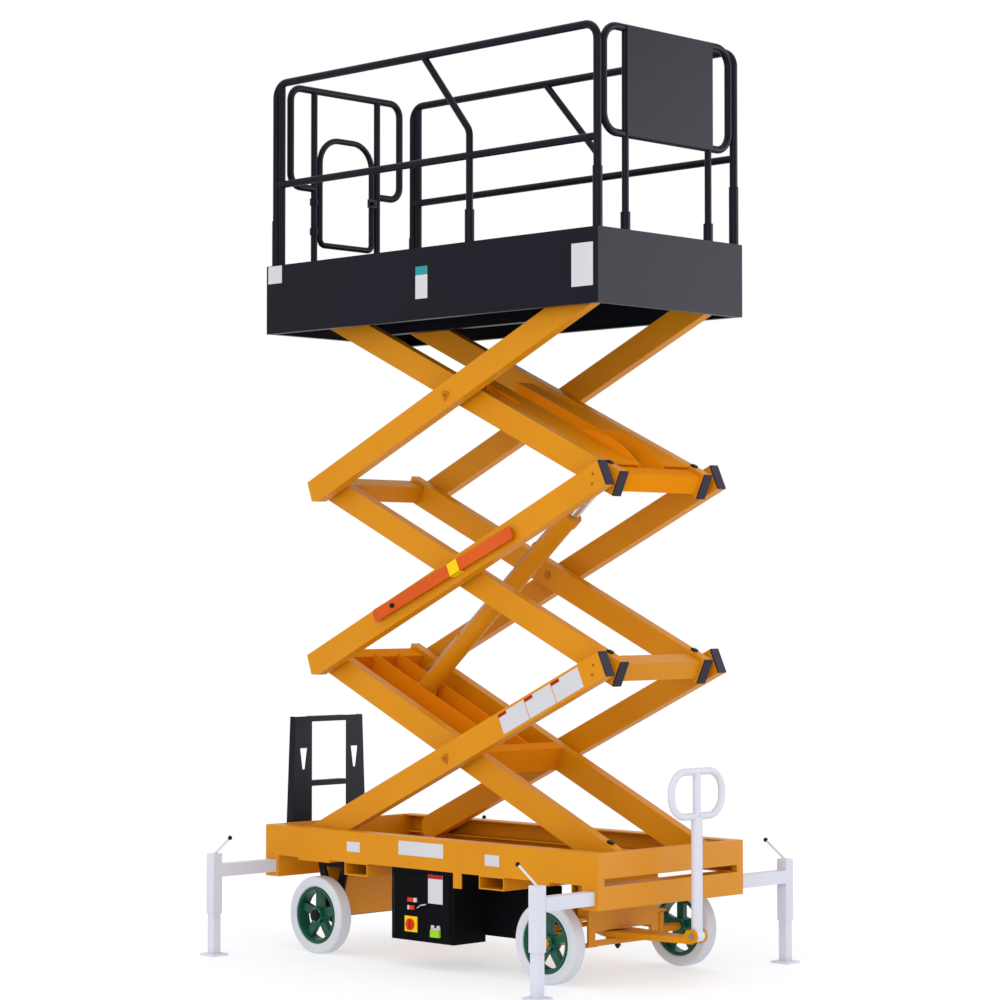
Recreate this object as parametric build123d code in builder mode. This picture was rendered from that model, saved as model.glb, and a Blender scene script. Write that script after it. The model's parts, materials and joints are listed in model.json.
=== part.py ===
from build123d import *

import math
import os

os.makedirs("parts", exist_ok=True)

# A push-around scissor lift, in millimetres. The origin is on the ground under the middle of the base,
# +X points to the tow handle, +Z is up and -Y is the side with the power cabinet.

# Scissor linkage, as it stands half raised
stages = 3
arm_end_gap = 185.0
arm_angle = 24.74
arm_height = 112.0
arm_width = 50.0
arm_wall = 5.0
arm_rear_overhang = 60.0
arm_front_overhang = 50.0
arm_boss_half = 62.0
cap_length = 8.0
arm_side_gap = 11.0
arm_pair_gap = 39.0
pivot_inset = 98.0
pivot_z = 526.5
pin_radius = 20.0
pin_clearance = 0.5
pin_end_gap = 1.0
cross_size = 80.0
plate_thickness = 6.0

# Ribbed trays on the first and third inner frames, which hold the lift cylinder
lower_tray_length = 995.0
upper_tray_length = 660.0
upper_tray_tail = 300.0
upper_tail_inset = 75.0
tray_wall_depth = 60.0
rib_y = 72.0
rib_thickness = 8.0
horn_start = 60.0
horn_length = 380.0
horn_height = 38.0

# Lift cylinder
cylinder_lower_seat = 334.0
cylinder_upper_seat = 226.0
barrel_radius = 42.0
barrel_length = 1240.0
barrel_floor = 70.0
gland_radius = 48.0
gland_length = 45.0
rod_radius = 28.0
rod_length = 1200.0
rod_clearance = 0.5
barrel_eye_radius = 44.0
barrel_eye_half = 45.0
rod_eye_radius = 40.0
eye_pin_radius = 18.0
rod_eye_half = 40.0
rod_pin_gap = 1.0

# Rollers and the ledges they run on
roller_radius = 34.0
roller_width = 38.0
roller_clearance = 0.5
roller_gap = 18.0
deck_roller_gap = 9.0

# Base frame
base_length = 2090.0
base_width = 930.0
base_top = 569.0
base_height = 137.0
beam_flange = 70.0
beam_wall = 6.0
ledge_width = 64.0
end_beam_depth = 30.0
end_beam_slot = 31.0
end_post_width = 40.0
pocket_bays = 5
pocket_offset = 10.0
pocket_width = 150.0
pocket_height = 57.0
pocket_wall = 5.0
bracket_gap = 5.0
bracket_thickness = 12.0
bracket_height = 88.0
bracket_reach = 50.0

# Wheels and axles
wheel_radius = 175.0
tyre_width = 70.0
rim_radius = 128.0
rim_depth = 16.0
rim_width = 58.0
hub_radius = 38.0
hub_width = 60.0
spoke_count = 5
spoke_width = 36.0
spoke_thickness = 26.0
tyre_shoulder = 12.0
tyre_seat_gap = 0.2
wheel_inset = 9.0
rear_axle_inset = 332.0
front_axle_inset = 313.0
axle_radius = 18.0
axle_clearance = 0.5
axle_nut_radius = 26.0
axle_nut_width = 10.0

# Front axle box, steering and towing
axle_box_depth = 100.0
axle_box_inset = 40.0
axle_box_bottom = 140.0
axle_plate = 10.0
cross_plate = 12.0
kingpin_offset = 159.0
kingpin_radius = 12.0
knuckle_radius = 26.0
knuckle_height = 100.0
knuckle_gap = 2.0
lug_thickness = 12.0
steer_arm_length = 120.0
steer_arm_width = 36.0
steer_arm_thickness = 15.0
tie_rod_radius = 11.0
tie_pin_radius = 9.0
tie_eye_radius = 18.0
tie_gap = 5.0
tongue_z = 172.0
tongue_thickness = 25.0
tongue_half_width = 90.0
tongue_tip_half_width = 36.0
tongue_slot_inset = 42.0
tongue_slot_gap = 7.0
tongue_pin_radius = 15.0
handle_standoff = 136.0
handle_pivot_z = 205.0
handle_radius = 24.0
handle_eye_radius = 25.0
handle_pin_radius = 8.0
handle_top = 907.0
handle_loop_width = 353.0
handle_loop_height = 217.0
handle_loop_radius = 15.0
handle_corner = 85.0
clevis_thickness = 10.0
clevis_gap = 2.0

# Rear axle box and hangers
hanger_gap = 39.0
rear_box_bottom = 168.0
rear_plate_bottom = 240.0
rear_plate = 8.0
hanger_thickness = 12.0
hanger_top_width = 210.0
hanger_foot_radius = 42.0
hanger_leg = 34.0

# Outriggers
outrigger_tube_width = 90.0
outrigger_tube_height = 98.0
outrigger_wall = 5.0
guide_plate = 12.0
outrigger_arm_size = 56.0
outrigger_clearance = 0.5
leg_standoff = 345.0
near_front_pull_in = 33.0
outrigger_grip = 157.0
shoe_length = 40.0
leg_tube_size = 50.0
leg_tube_wall = 4.0
leg_tube_bottom = 190.0
leg_tube_top = 460.0
leg_cap = 6.0
leg_top = 280.0
leg_clearance = 0.5
foot_size = 90.0
foot_thickness = 10.0
crank_length = 136.0
crank_radius = 5.0
crank_knob_radius = 7.0
crank_knob_length = 14.0
crank_tilt = 36.0

# Power cabinet, the hydraulic unit behind it and the ladder
cabinet_rear_x = -200.0
cabinet_front_x = 195.0
cabinet_depth = 200.0
cabinet_bottom = 118.0
cabinet_corner = 8.0
cabinet_bracket_width = 49.0
cabinet_bracket_height = 66.0
door_inset = 22.0
door_proud = 4.0
unit_rear_x = -120.0
unit_gap = 8.0
unit_toe_length = 130.0
unit_depth = 190.0
unit_bottom = 146.0
ladder_standoff = 81.0
ladder_depth = 40.0
ladder_plate = 5.0
ladder_top = 1055.0
ladder_bottom = 440.0
ladder_top_half = 213.0
ladder_bottom_half = 239.0
ladder_inner_half = 110.0
rung_height = 26.0
rung_pitch = 305.0
ladder_slot_top = 905.0
ladder_slot_length = 100.0
ladder_slot_width = 46.0
ladder_slot_taper = 16.0
ladder_arm_y = 150.0
ladder_arm_height = 50.0

# Platform
platform_overhang = 5.0
skirt_drop = 74.0
skirt_height = 317.0
skirt_wall = 4.0
skirt_lip = 30.0
toe_height = 151.0
deck_thickness = 6.0
floor_rise = 3.0
floor_end_margin = 100.0
floor_side_margin = 65.0
bearer_height = 24.0
bearer_width = 60.0
track_wall = 6.0
track_length = 1060.0
platform_bracket = 10.0
bracket_drop = 40.0

# Guard rails
rail_radius = 17.5
panel_radius = 16.5
rail_top = 1022.0
rail_inset = 26.0
rear_post_inset = 39.0
side_rail_corner = 68.0
twin_post_pitch = 38.0
twin_post_radius = 16.0
mid_rail_height = 530.0
near_post_x = 268.0
near_post_top_x = -24.0
far_post_x = 217.0
far_post_top_x = -115.0
mid_post_bend = 640.0
mid_post_radius = 15.5
socket_radius = 21.0
rear_socket_height = 362.0
mid_socket_height = 295.0
front_socket_height = 405.0
front_panel_gap = 36.0
front_panel_bottom = 540.0
front_panel_corner = 80.0
front_leg_inset = 136.0
front_leg_radius = 15.0
front_socket_leg_height = 228.0
sheet_thickness = 4.0
sheet_overlap = 9.0
sheet_gap = 0.5
rear_panel_inset = 34.0
rear_panel_gap = 89.0
rear_panel_bottom = 522.0
rear_panel_corner = 62.0
rear_post_y = 202.0
rear_post_radius = 15.5
gate_radius = 14.0
gate_half = 166.0
gate_bottom = 276.0
gate_top = 782.0
gate_arch = 118.0
gate_foot_corner = 30.0
gate_ring_height = 32.0
gate_ring_wall = 4.5
gate_ring_low = 60.0
gate_ring_high = 200.0

# Safety prop, clipped along the near outer arm of the second stage
prop_start = 461.0
prop_length = 939.0
prop_height = 56.0
prop_thickness = 12.0
prop_rear_lift = 19.0
prop_front_lift = -8.0
prop_gap = 15.0
prop_pad = 40.0

# Values that follow from the sizes above
half_length = base_length / 2
half_width = base_width / 2
angle = math.radians(arm_angle)
arm_length = base_length - arm_end_gap
pivot_x = half_length - pivot_inset
outer_arm_y = half_width - beam_flange - arm_side_gap - arm_width
inner_arm_y = outer_arm_y - arm_pair_gap - arm_width
stage_height = arm_length * math.sin(angle)
stage_run = arm_length * math.cos(angle)
rear_x = pivot_x - stage_run
top_z = pivot_z + stages * stage_height
base_bottom = base_top - base_height
beam_end = half_length - end_beam_depth
ledge_top = pivot_z - roller_radius - roller_clearance
outer_face = outer_arm_y + arm_width
inner_face = inner_arm_y + arm_width
wheel_y = half_width - wheel_inset - tyre_width / 2
front_axle_x = half_length - front_axle_inset
rear_axle_x = rear_axle_inset - half_length
kingpin_y = wheel_y - kingpin_offset
axle_box_half_width = kingpin_y - axle_box_inset
tongue_slot_half_width = axle_box_half_width - tongue_slot_inset
rear_box_half_width = wheel_y - tyre_width / 2 - hanger_thickness - hanger_gap
handle_x = half_length + handle_standoff
pocket_x = base_length / pocket_bays + pocket_offset
unit_front_x = pocket_x - pocket_width / 2 - unit_gap
ladder_face = -half_length - ladder_standoff
ladder_back_x = ladder_face - ladder_depth
outrigger_x = half_length - outrigger_tube_width / 2
outrigger_reach = half_width + leg_standoff
outrigger_tail = half_width - outrigger_grip
upper_tail_half_width = inner_arm_y - upper_tail_inset
knuckle_bottom = wheel_radius - knuckle_height / 4
knuckle_top = knuckle_bottom + knuckle_height
tie_x = front_axle_x - steer_arm_length
tie_z = tongue_z + tongue_thickness + tie_gap + tie_rod_radius
outrigger_z = base_bottom - outrigger_tube_height / 2
platform_length = base_length + 2 * platform_overhang
platform_width = base_width
platform_end = platform_length / 2
side_rail_y = platform_width / 2 - rail_inset
side_rail_front_x = platform_end - rail_inset
side_rail_rear_x = rear_post_inset - platform_end
front_panel_x = side_rail_front_x
front_panel_half = side_rail_y - front_panel_gap
front_leg_y = front_panel_half - front_leg_inset
rear_panel_x = rear_panel_inset - platform_end
rear_panel_half = side_rail_y - rear_panel_gap
skirt_bottom = top_z - skirt_drop
skirt_top = skirt_bottom + skirt_height
deck_top = skirt_top - toe_height
bearer_top = deck_top - deck_thickness
bearer_bottom = bearer_top - bearer_height
rear_hinge_y = -rear_post_y
MIN_Z = (Align.CENTER, Align.CENTER, Align.MIN)
MAX_Z = (Align.CENTER, Align.CENTER, Align.MAX)


def save(piece, label):
    """Label one finished piece and write its STEP file."""
    piece.label = label
    export_step(piece, f"parts/{label}.step")


def joint(end_x, level):
    """Height of a pair of scissor joints, counted in stages from the base."""
    return (end_x, pivot_z + level * stage_height)


def centre(stage):
    """Crossing point of one stage."""
    return ((pivot_x + rear_x) / 2, pivot_z + (stage - 0.5) * stage_height)


def outer_plane(stage, y):
    """Plane along an outer arm: X runs up the arm from its rear joint, normal to -Y."""
    x, z = joint(rear_x, stage - 1)
    return Plane(origin=(x, y, z), x_dir=(math.cos(angle), 0, math.sin(angle)), z_dir=(0, -1, 0))


def inner_plane(stage, y):
    """Plane along an inner arm: X runs up the arm from its front joint, normal to +Y."""
    x, z = joint(pivot_x, stage - 1)
    return Plane(origin=(x, y, z), x_dir=(-math.cos(angle), 0, math.sin(angle)), z_dir=(0, 1, 0))


def cross_pin(x, y, z, radius, length, mode=Mode.ADD):
    """Round pin or hole from (x, y, z) towards -Y."""
    with Locations(Location((x, y, z), (90, 0, 0))):
        Cylinder(radius, length, align=MIN_Z, mode=mode)


def hub_pin(x, z):
    """Pin of an inner arm that ends inside the hollow of its outer arm."""
    start = inner_face - arm_wall
    cross_pin(x, -start, z, pin_radius, outer_face - arm_wall - pin_end_gap - start)


def outer_arms(stage):
    """Two outer arms of a stage: box section with solid pin bosses."""
    round_low = stage == 1
    round_high = stage == stages
    with BuildPart() as arms:
        with BuildSketch(outer_plane(stage, -outer_arm_y)):
            with Locations((arm_length / 2, 0)):
                Rectangle(arm_length, arm_height)
            if round_low:
                Circle(arm_height / 2)
            else:
                with BuildLine():
                    Polyline(
                        (0, -arm_height / 2),
                        (-arm_rear_overhang / 3, -arm_height / 2),
                        (-arm_rear_overhang, -arm_height / 3),
                        (-arm_rear_overhang * 0.85, arm_height / 2),
                        (0, arm_height / 2),
                        close=True,
                    )
                make_face()
            if round_high:
                with Locations((arm_length, 0)):
                    Circle(arm_height / 2)
            else:
                with Locations((arm_length + arm_front_overhang / 2, 0)):
                    Rectangle(arm_front_overhang, arm_height)
        extrude(amount=arm_width)
        with BuildSketch(outer_plane(stage, -outer_arm_y - arm_wall)):
            with Locations((arm_length / 4, 0), (arm_length * 3 / 4, 0)):
                Rectangle(arm_length / 2 - 2 * arm_boss_half, arm_height - 2 * arm_wall)
        extrude(amount=arm_width - 2 * arm_wall, mode=Mode.SUBTRACT)
        blind = arm_width - arm_wall
        holes = [(centre(stage), blind), (joint(pivot_x, stage), arm_width if round_high else blind)]
        if not round_low:
            holes.append((joint(rear_x, stage - 1), blind))
        for (x, z), depth in holes:
            cross_pin(x, -outer_arm_y, z, pin_radius + pin_clearance, depth, Mode.SUBTRACT)
        if round_low:
            x, z = joint(rear_x, 0)
            cross_pin(x, -outer_arm_y, z, pin_radius, arm_width + roller_gap + roller_width)
        mirror(about=Plane.XZ)
    return arms.part


def inner_arms(stage):
    """Two inner arms of a stage, which carry the pins of the outer arms."""
    round_low = stage == 1
    round_high = stage == stages
    with BuildPart() as arms:
        with BuildSketch(inner_plane(stage, -inner_face)):
            with Locations((arm_length / 2, 0)):
                Rectangle(arm_length, arm_height)
            if round_low:
                Circle(arm_height / 2)
            else:
                with Locations((-arm_front_overhang / 2, 0)):
                    Rectangle(arm_front_overhang, arm_height)
            if round_high:
                with Locations((arm_length, 0)):
                    Circle(arm_height / 2)
            else:
                with Locations((arm_length + arm_rear_overhang / 2, 0)):
                    Rectangle(arm_rear_overhang, arm_height)
        extrude(amount=arm_width)
        with BuildSketch(inner_plane(stage, -inner_face + arm_wall)):
            with Locations((arm_length / 4, 0), (arm_length * 3 / 4, 0)):
                Rectangle(arm_length / 2 - 2 * arm_boss_half, arm_height - 2 * arm_wall)
        extrude(amount=arm_width - 2 * arm_wall, mode=Mode.SUBTRACT)
        hub_pin(*centre(stage))
        if round_low:
            x, z = joint(pivot_x, 0)
            cross_pin(x, -inner_arm_y, z, pin_radius + pin_clearance, arm_width, Mode.SUBTRACT)
        else:
            hub_pin(*joint(pivot_x, stage - 1))
        x, z = joint(rear_x, stage)
        if round_high:
            reach = deck_roller_gap + roller_width
            cross_pin(x, -inner_arm_y + reach, z, pin_radius, reach + arm_wall)
        else:
            hub_pin(x, z)
        mirror(about=Plane.XZ)
    return arms.part


def end_caps(plane_of, stage, y, start):
    """Black caps that close the front ends of a pair of arms."""
    with BuildPart() as caps:
        with BuildSketch(plane_of(stage, y)):
            with Locations((start, 0)):
                Rectangle(cap_length, arm_height)
        extrude(amount=arm_width)
        mirror(about=Plane.XZ)
    return caps.part


def cross_box(stage, along):
    """Box cross member between two inner arms."""
    with BuildPart() as box:
        with BuildSketch(inner_plane(stage, 0)):
            with Locations((along, 0)):
                Rectangle(cross_size, cross_size)
        extrude(amount=inner_arm_y, both=True)
        with BuildSketch(inner_plane(stage, 0)):
            with Locations((along, 0)):
                Rectangle(cross_size - 2 * arm_wall, cross_size - 2 * arm_wall)
        extrude(amount=inner_arm_y, both=True, mode=Mode.SUBTRACT)
    return box.part


def tray(stage, start, end, plate_side, half_width):
    """Tray between two inner arms: a plate along one edge, an end wall and two long ribs."""
    middle = (start + end) / 2
    length = abs(end - start)
    plate_level = plate_side * (arm_height - plate_thickness) / 2
    wall_middle = end + math.copysign(tray_wall_depth / 2, start - end)
    with BuildPart() as frame:
        with BuildSketch(inner_plane(stage, 0)):
            with Locations((middle, plate_level)):
                Rectangle(length, plate_thickness)
            with Locations((wall_middle, 0)):
                Rectangle(tray_wall_depth, arm_height)
                Rectangle(tray_wall_depth - 2 * plate_thickness, arm_height - 2 * plate_thickness, mode=Mode.SUBTRACT)
        extrude(amount=half_width, both=True)
        for side in (-1, 1):
            with BuildSketch(inner_plane(stage, side * (rib_y + rib_thickness / 2))):
                with Locations((middle, 0)):
                    Rectangle(length, arm_height)
            extrude(amount=rib_thickness / 2, both=True)
    return frame.part


def wheel_plane(x, y):
    """Plane through a wheel's axis: X along the axle, Y outwards from it."""
    return Plane(origin=(x, y, wheel_radius), x_dir=(0, 1, 0), z_dir=(1, 0, 0))


def tyre(x, y):
    """Solid tyre with rounded shoulders."""
    with BuildPart() as ring:
        with BuildSketch(wheel_plane(x, y)) as section:
            with Locations((0, (wheel_radius + rim_radius) / 2)):
                Rectangle(tyre_width, wheel_radius - rim_radius)
            fillet(section.vertices().group_by(Axis.Z)[-1], tyre_shoulder)
        revolve(axis=Axis((x, y, wheel_radius), (0, 1, 0)))
    return ring.part


def wheel_centre(x, y):
    """Cast centre: rim, hub and open spokes, bored for its axle."""
    rim_outer = rim_radius - tyre_seat_gap
    with BuildPart() as cast:
        with BuildSketch(wheel_plane(x, y)):
            with Locations((0, rim_outer - rim_depth / 2)):
                Rectangle(rim_width, rim_depth)
            with Locations((0, hub_radius / 2)):
                Rectangle(hub_width, hub_radius)
        revolve(axis=Axis((x, y, wheel_radius), (0, 1, 0)))
        spoke_middle = (rim_outer - rim_depth + hub_radius) / 2
        spoke_reach = rim_outer - rim_depth - hub_radius + rim_depth
        with BuildSketch(Plane(origin=(x, y, wheel_radius), x_dir=(0, 0, 1), z_dir=(0, 1, 0))):
            with PolarLocations(spoke_middle, spoke_count):
                Rectangle(spoke_reach, spoke_width)
        extrude(amount=spoke_thickness / 2, both=True)
        cross_pin(x, y + hub_width / 2, wheel_radius, axle_radius + axle_clearance, hub_width, Mode.SUBTRACT)
    return cast.part


# Base frame: two channel side beams with a ledge for the rollers
with BuildPart() as side_beams:
    with BuildSketch(Plane.YZ.offset(-beam_end)):
        with Locations((-half_width + beam_flange / 2, base_top - base_height / 2)):
            Rectangle(beam_flange, base_height)
        with Locations((-half_width + beam_wall + beam_flange / 2, base_top - base_height / 2)):
            Rectangle(beam_flange, base_height - 2 * beam_wall, mode=Mode.SUBTRACT)
        with Locations((-half_width + ledge_width / 2, ledge_top - beam_wall / 2)):
            Rectangle(ledge_width, beam_wall)
    extrude(amount=2 * beam_end)
    mirror(about=Plane.XZ)
save(side_beams.part, "side_beams")

# End beams: a deep plate with corner posts, and a slot above the outrigger tube
with BuildPart() as end_beams:
    with BuildSketch(Plane.YZ.offset(beam_end)):
        with Locations((0, base_top - base_height / 2)):
            Rectangle(base_width, base_height)
        with Locations((0, base_bottom + end_beam_slot / 2)):
            Rectangle(base_width - 2 * end_post_width, end_beam_slot, mode=Mode.SUBTRACT)
    extrude(amount=end_beam_depth)
    mirror(about=Plane.YZ)
save(end_beams.part, "end_beams")

# Outrigger tubes: hollow, with a guide plate at each mouth
mouth = outrigger_arm_size + 2 * outrigger_clearance
cavity_width = outrigger_tube_width - 2 * outrigger_wall
cavity_height = outrigger_tube_height - 2 * outrigger_wall
with BuildPart() as outrigger_tubes:
    with Locations((outrigger_x, 0, outrigger_z)):
        Box(outrigger_tube_width, base_width, outrigger_tube_height)
        Box(cavity_width, base_width - 2 * guide_plate, cavity_height, mode=Mode.SUBTRACT)
        Box(mouth, base_width, mouth, mode=Mode.SUBTRACT)
    mirror(about=Plane.YZ)
save(outrigger_tubes.part, "outrigger_tubes")

# Fork pockets under the side beams
with BuildPart() as fork_pockets:
    with Locations((pocket_x, 0, base_bottom - pocket_height / 2)):
        Box(pocket_width, base_width, pocket_height)
        Box(pocket_width - 2 * pocket_wall, base_width, pocket_height - 2 * pocket_wall, mode=Mode.SUBTRACT)
    mirror(about=Plane.YZ)
save(fork_pockets.part, "fork_pockets")

# Brackets and pins that hold the first inner frame
bracket_length = beam_end - pivot_x + bracket_reach
inner_plate_y = inner_arm_y - bracket_gap
outer_plate_y = inner_face + bracket_gap
with BuildPart() as pivot_brackets:
    with Locations((beam_end - bracket_length / 2, -inner_plate_y + bracket_thickness / 2, pivot_z)):
        Box(bracket_length, bracket_thickness, bracket_height)
    with Locations((beam_end - bracket_length / 2, -outer_plate_y - bracket_thickness / 2, pivot_z)):
        Box(bracket_length, bracket_thickness, bracket_height)
    cross_pin(pivot_x, -inner_plate_y, pivot_z, pin_radius, outer_plate_y - inner_plate_y)
    mirror(about=Plane.XZ)
save(pivot_brackets.part, "pivot_brackets")

# Front axle box: slotted front plate, back plate, cross plate and kingpin lugs
box_front = front_axle_x + axle_plate + knuckle_radius
box_rear = box_front - axle_box_depth
slot_bottom = tongue_z - tongue_slot_gap
slot_top = tongue_z + tongue_thickness + tongue_slot_gap
upper_lug_z = knuckle_top + knuckle_gap
lower_lug_z = knuckle_bottom - knuckle_gap - lug_thickness
lug_reach = kingpin_y + knuckle_radius - axle_box_half_width
box_top = base_bottom - cross_plate
with BuildPart() as front_axle_box:
    with Locations(((box_front + box_rear) / 2, 0, base_bottom - cross_plate / 2)):
        Box(axle_box_depth, base_width, cross_plate)
    with BuildSketch(Plane.YZ.offset(box_front - axle_plate)):
        with Locations((0, (axle_box_bottom + box_top) / 2)):
            Rectangle(2 * axle_box_half_width, box_top - axle_box_bottom)
        with Locations((0, (slot_bottom + slot_top) / 2)):
            Rectangle(2 * tongue_slot_half_width, slot_top - slot_bottom, mode=Mode.SUBTRACT)
    extrude(amount=axle_plate)
    with Locations((box_rear + axle_plate / 2, 0, (upper_lug_z + box_top) / 2)):
        Box(axle_plate, 2 * axle_box_half_width, box_top - upper_lug_z)
    for side in (-1, 1):
        with Locations((front_axle_x, side * (axle_box_half_width - axle_plate / 2), (upper_lug_z + box_top) / 2)):
            Box(2 * knuckle_radius, axle_plate, box_top - upper_lug_z)
        for level in (upper_lug_z, lower_lug_z):
            with Locations((front_axle_x, side * kingpin_y, level)):
                Cylinder(knuckle_radius, lug_thickness, align=MIN_Z)
            with Locations((front_axle_x, side * (axle_box_half_width + lug_reach / 4), level)):
                Box(2 * knuckle_radius, lug_reach * 1.5, lug_thickness, align=MIN_Z)
            with Locations((box_front - axle_plate, side * (axle_box_half_width - lug_reach / 2), level)):
                Box(2 * knuckle_radius, lug_reach, lug_thickness, align=(Align.MAX, Align.CENTER, Align.MIN))
        with Locations((front_axle_x, side * kingpin_y, lower_lug_z)):
            Cylinder(kingpin_radius, upper_lug_z - lower_lug_z + lug_thickness, align=MIN_Z)
    for level in (slot_top, slot_bottom - lug_thickness):
        with Locations((front_axle_x, 0, level)):
            Cylinder(2 * knuckle_radius, lug_thickness, align=MIN_Z)
        with Locations((box_front - axle_plate, 0, level)):
            Box(
                box_front - axle_plate - front_axle_x,
                4 * knuckle_radius,
                lug_thickness,
                align=(Align.MAX, Align.CENTER, Align.MIN),
            )
    with Locations((front_axle_x, 0, slot_bottom - lug_thickness)):
        Cylinder(tongue_pin_radius, slot_top - slot_bottom + 2 * lug_thickness, align=MIN_Z)
save(front_axle_box.part, "front_axle_box")

# Rear axle box: front plate with a turned foot, back plate and cross plate
rear_box_front = rear_axle_x + axle_box_depth / 2
rear_box_rear = rear_axle_x - axle_box_depth / 2
with BuildPart() as rear_axle_box:
    with Locations((rear_axle_x, 0, base_bottom - cross_plate / 2)):
        Box(hanger_top_width, base_width, cross_plate)
    with Locations((rear_box_front - rear_plate / 2, 0, (rear_box_bottom + box_top) / 2)):
        Box(rear_plate, 2 * rear_box_half_width, box_top - rear_box_bottom)
    with Locations((rear_box_front, 0, rear_box_bottom)):
        Box(
            2 * rear_plate,
            2 * rear_box_half_width,
            rear_plate,
            align=(Align.MAX, Align.CENTER, Align.MIN),
        )
    with Locations((rear_box_rear + rear_plate / 2, 0, (rear_plate_bottom + box_top) / 2)):
        Box(rear_plate, 2 * rear_box_half_width, box_top - rear_plate_bottom)
save(rear_axle_box.part, "rear_axle_box")

# Rear hangers: two open plates with the axle between them
hanger_y = rear_box_half_width + hanger_thickness / 2
with BuildPart() as rear_hangers:
    for side in (-1, 1):
        with BuildSketch(Plane.XZ.offset(-side * hanger_y)):
            with BuildLine():
                Polyline(
                    (rear_axle_x - hanger_top_width / 2, box_top),
                    (rear_axle_x + hanger_top_width / 2, box_top),
                    (rear_axle_x + hanger_foot_radius, wheel_radius),
                    (rear_axle_x - hanger_foot_radius, wheel_radius),
                    close=True,
                )
            make_face()
            with BuildLine():
                Polyline(
                    (rear_axle_x - hanger_top_width / 2 + hanger_leg * 1.4, box_top - hanger_leg),
                    (rear_axle_x + hanger_top_width / 2 - hanger_leg * 1.4, box_top - hanger_leg),
                    (rear_axle_x, wheel_radius + hanger_foot_radius * 1.6),
                    close=True,
                )
            make_face(mode=Mode.SUBTRACT)
            with Locations((rear_axle_x, wheel_radius)):
                Circle(hanger_foot_radius)
        extrude(amount=hanger_thickness / 2, both=True)
    axle_end = wheel_y + hub_width / 2
    cross_pin(rear_axle_x, axle_end, wheel_radius, axle_radius, 2 * axle_end)
    for side in (-1, 1):
        with BuildSketch(Plane.XZ.offset(-side * axle_end)):
            with Locations((rear_axle_x, wheel_radius)):
                RegularPolygon(axle_nut_radius, 6)
        extrude(amount=-side * axle_nut_width)
save(rear_hangers.part, "rear_hangers")

# Wheels
wheel_places = {
    "rear_left": (rear_axle_x, wheel_y),
    "rear_right": (rear_axle_x, -wheel_y),
    "front_left": (front_axle_x, wheel_y),
    "front_right": (front_axle_x, -wheel_y),
}
for place, (x, y) in wheel_places.items():
    save(tyre(x, y), f"tyre_{place}")
    save(wheel_centre(x, y), f"wheel_centre_{place}")


def steering_knuckle(side):
    """Knuckle on its kingpin, with the stub axle and the steering arm."""
    arm_z = tongue_z + tongue_thickness - steer_arm_thickness
    stub_start = kingpin_y
    stub_end = wheel_y + hub_width / 2
    with BuildPart() as knuckle:
        with Locations((front_axle_x, side * kingpin_y, knuckle_bottom)):
            Cylinder(knuckle_radius, knuckle_height, align=MIN_Z)
        with BuildSketch(Plane.XZ.offset(-side * stub_start)):
            with Locations((front_axle_x, wheel_radius)):
                Circle(axle_radius)
        extrude(amount=-side * (stub_end - stub_start))
        with BuildSketch(Plane.XZ.offset(-side * stub_end)):
            with Locations((front_axle_x, wheel_radius)):
                RegularPolygon(axle_nut_radius, 6)
        extrude(amount=-side * axle_nut_width)
        with Locations(((front_axle_x + tie_x) / 2, side * kingpin_y, arm_z)):
            Box(steer_arm_length, steer_arm_width, steer_arm_thickness, align=MIN_Z)
        with Locations((tie_x, side * kingpin_y, arm_z)):
            Cylinder(steer_arm_width / 2, steer_arm_thickness, align=MIN_Z)
            Cylinder(tie_pin_radius, tie_z + tie_rod_radius - arm_z, align=MIN_Z)
        with Locations((front_axle_x, side * kingpin_y, knuckle_bottom)):
            Cylinder(kingpin_radius + pin_clearance, knuckle_height, align=MIN_Z, mode=Mode.SUBTRACT)
    return knuckle.part


save(steering_knuckle(1), "steering_knuckle_left")
save(steering_knuckle(-1), "steering_knuckle_right")

# Tie rod above the steering arms, with an eye over each arm's pin and one for the tongue
with BuildPart() as tie_rod:
    with Locations(Location((tie_x, kingpin_y, tie_z), (90, 0, 0))):
        Cylinder(tie_rod_radius, 2 * kingpin_y, align=MIN_Z)
    for y in (-kingpin_y, 0, kingpin_y):
        with Locations((tie_x, y, tie_z)):
            Cylinder(tie_eye_radius, 2 * tie_rod_radius)
            Cylinder(tie_pin_radius + pin_clearance, 2 * tie_rod_radius, mode=Mode.SUBTRACT)
save(tie_rod.part, "tie_rod")

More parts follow.
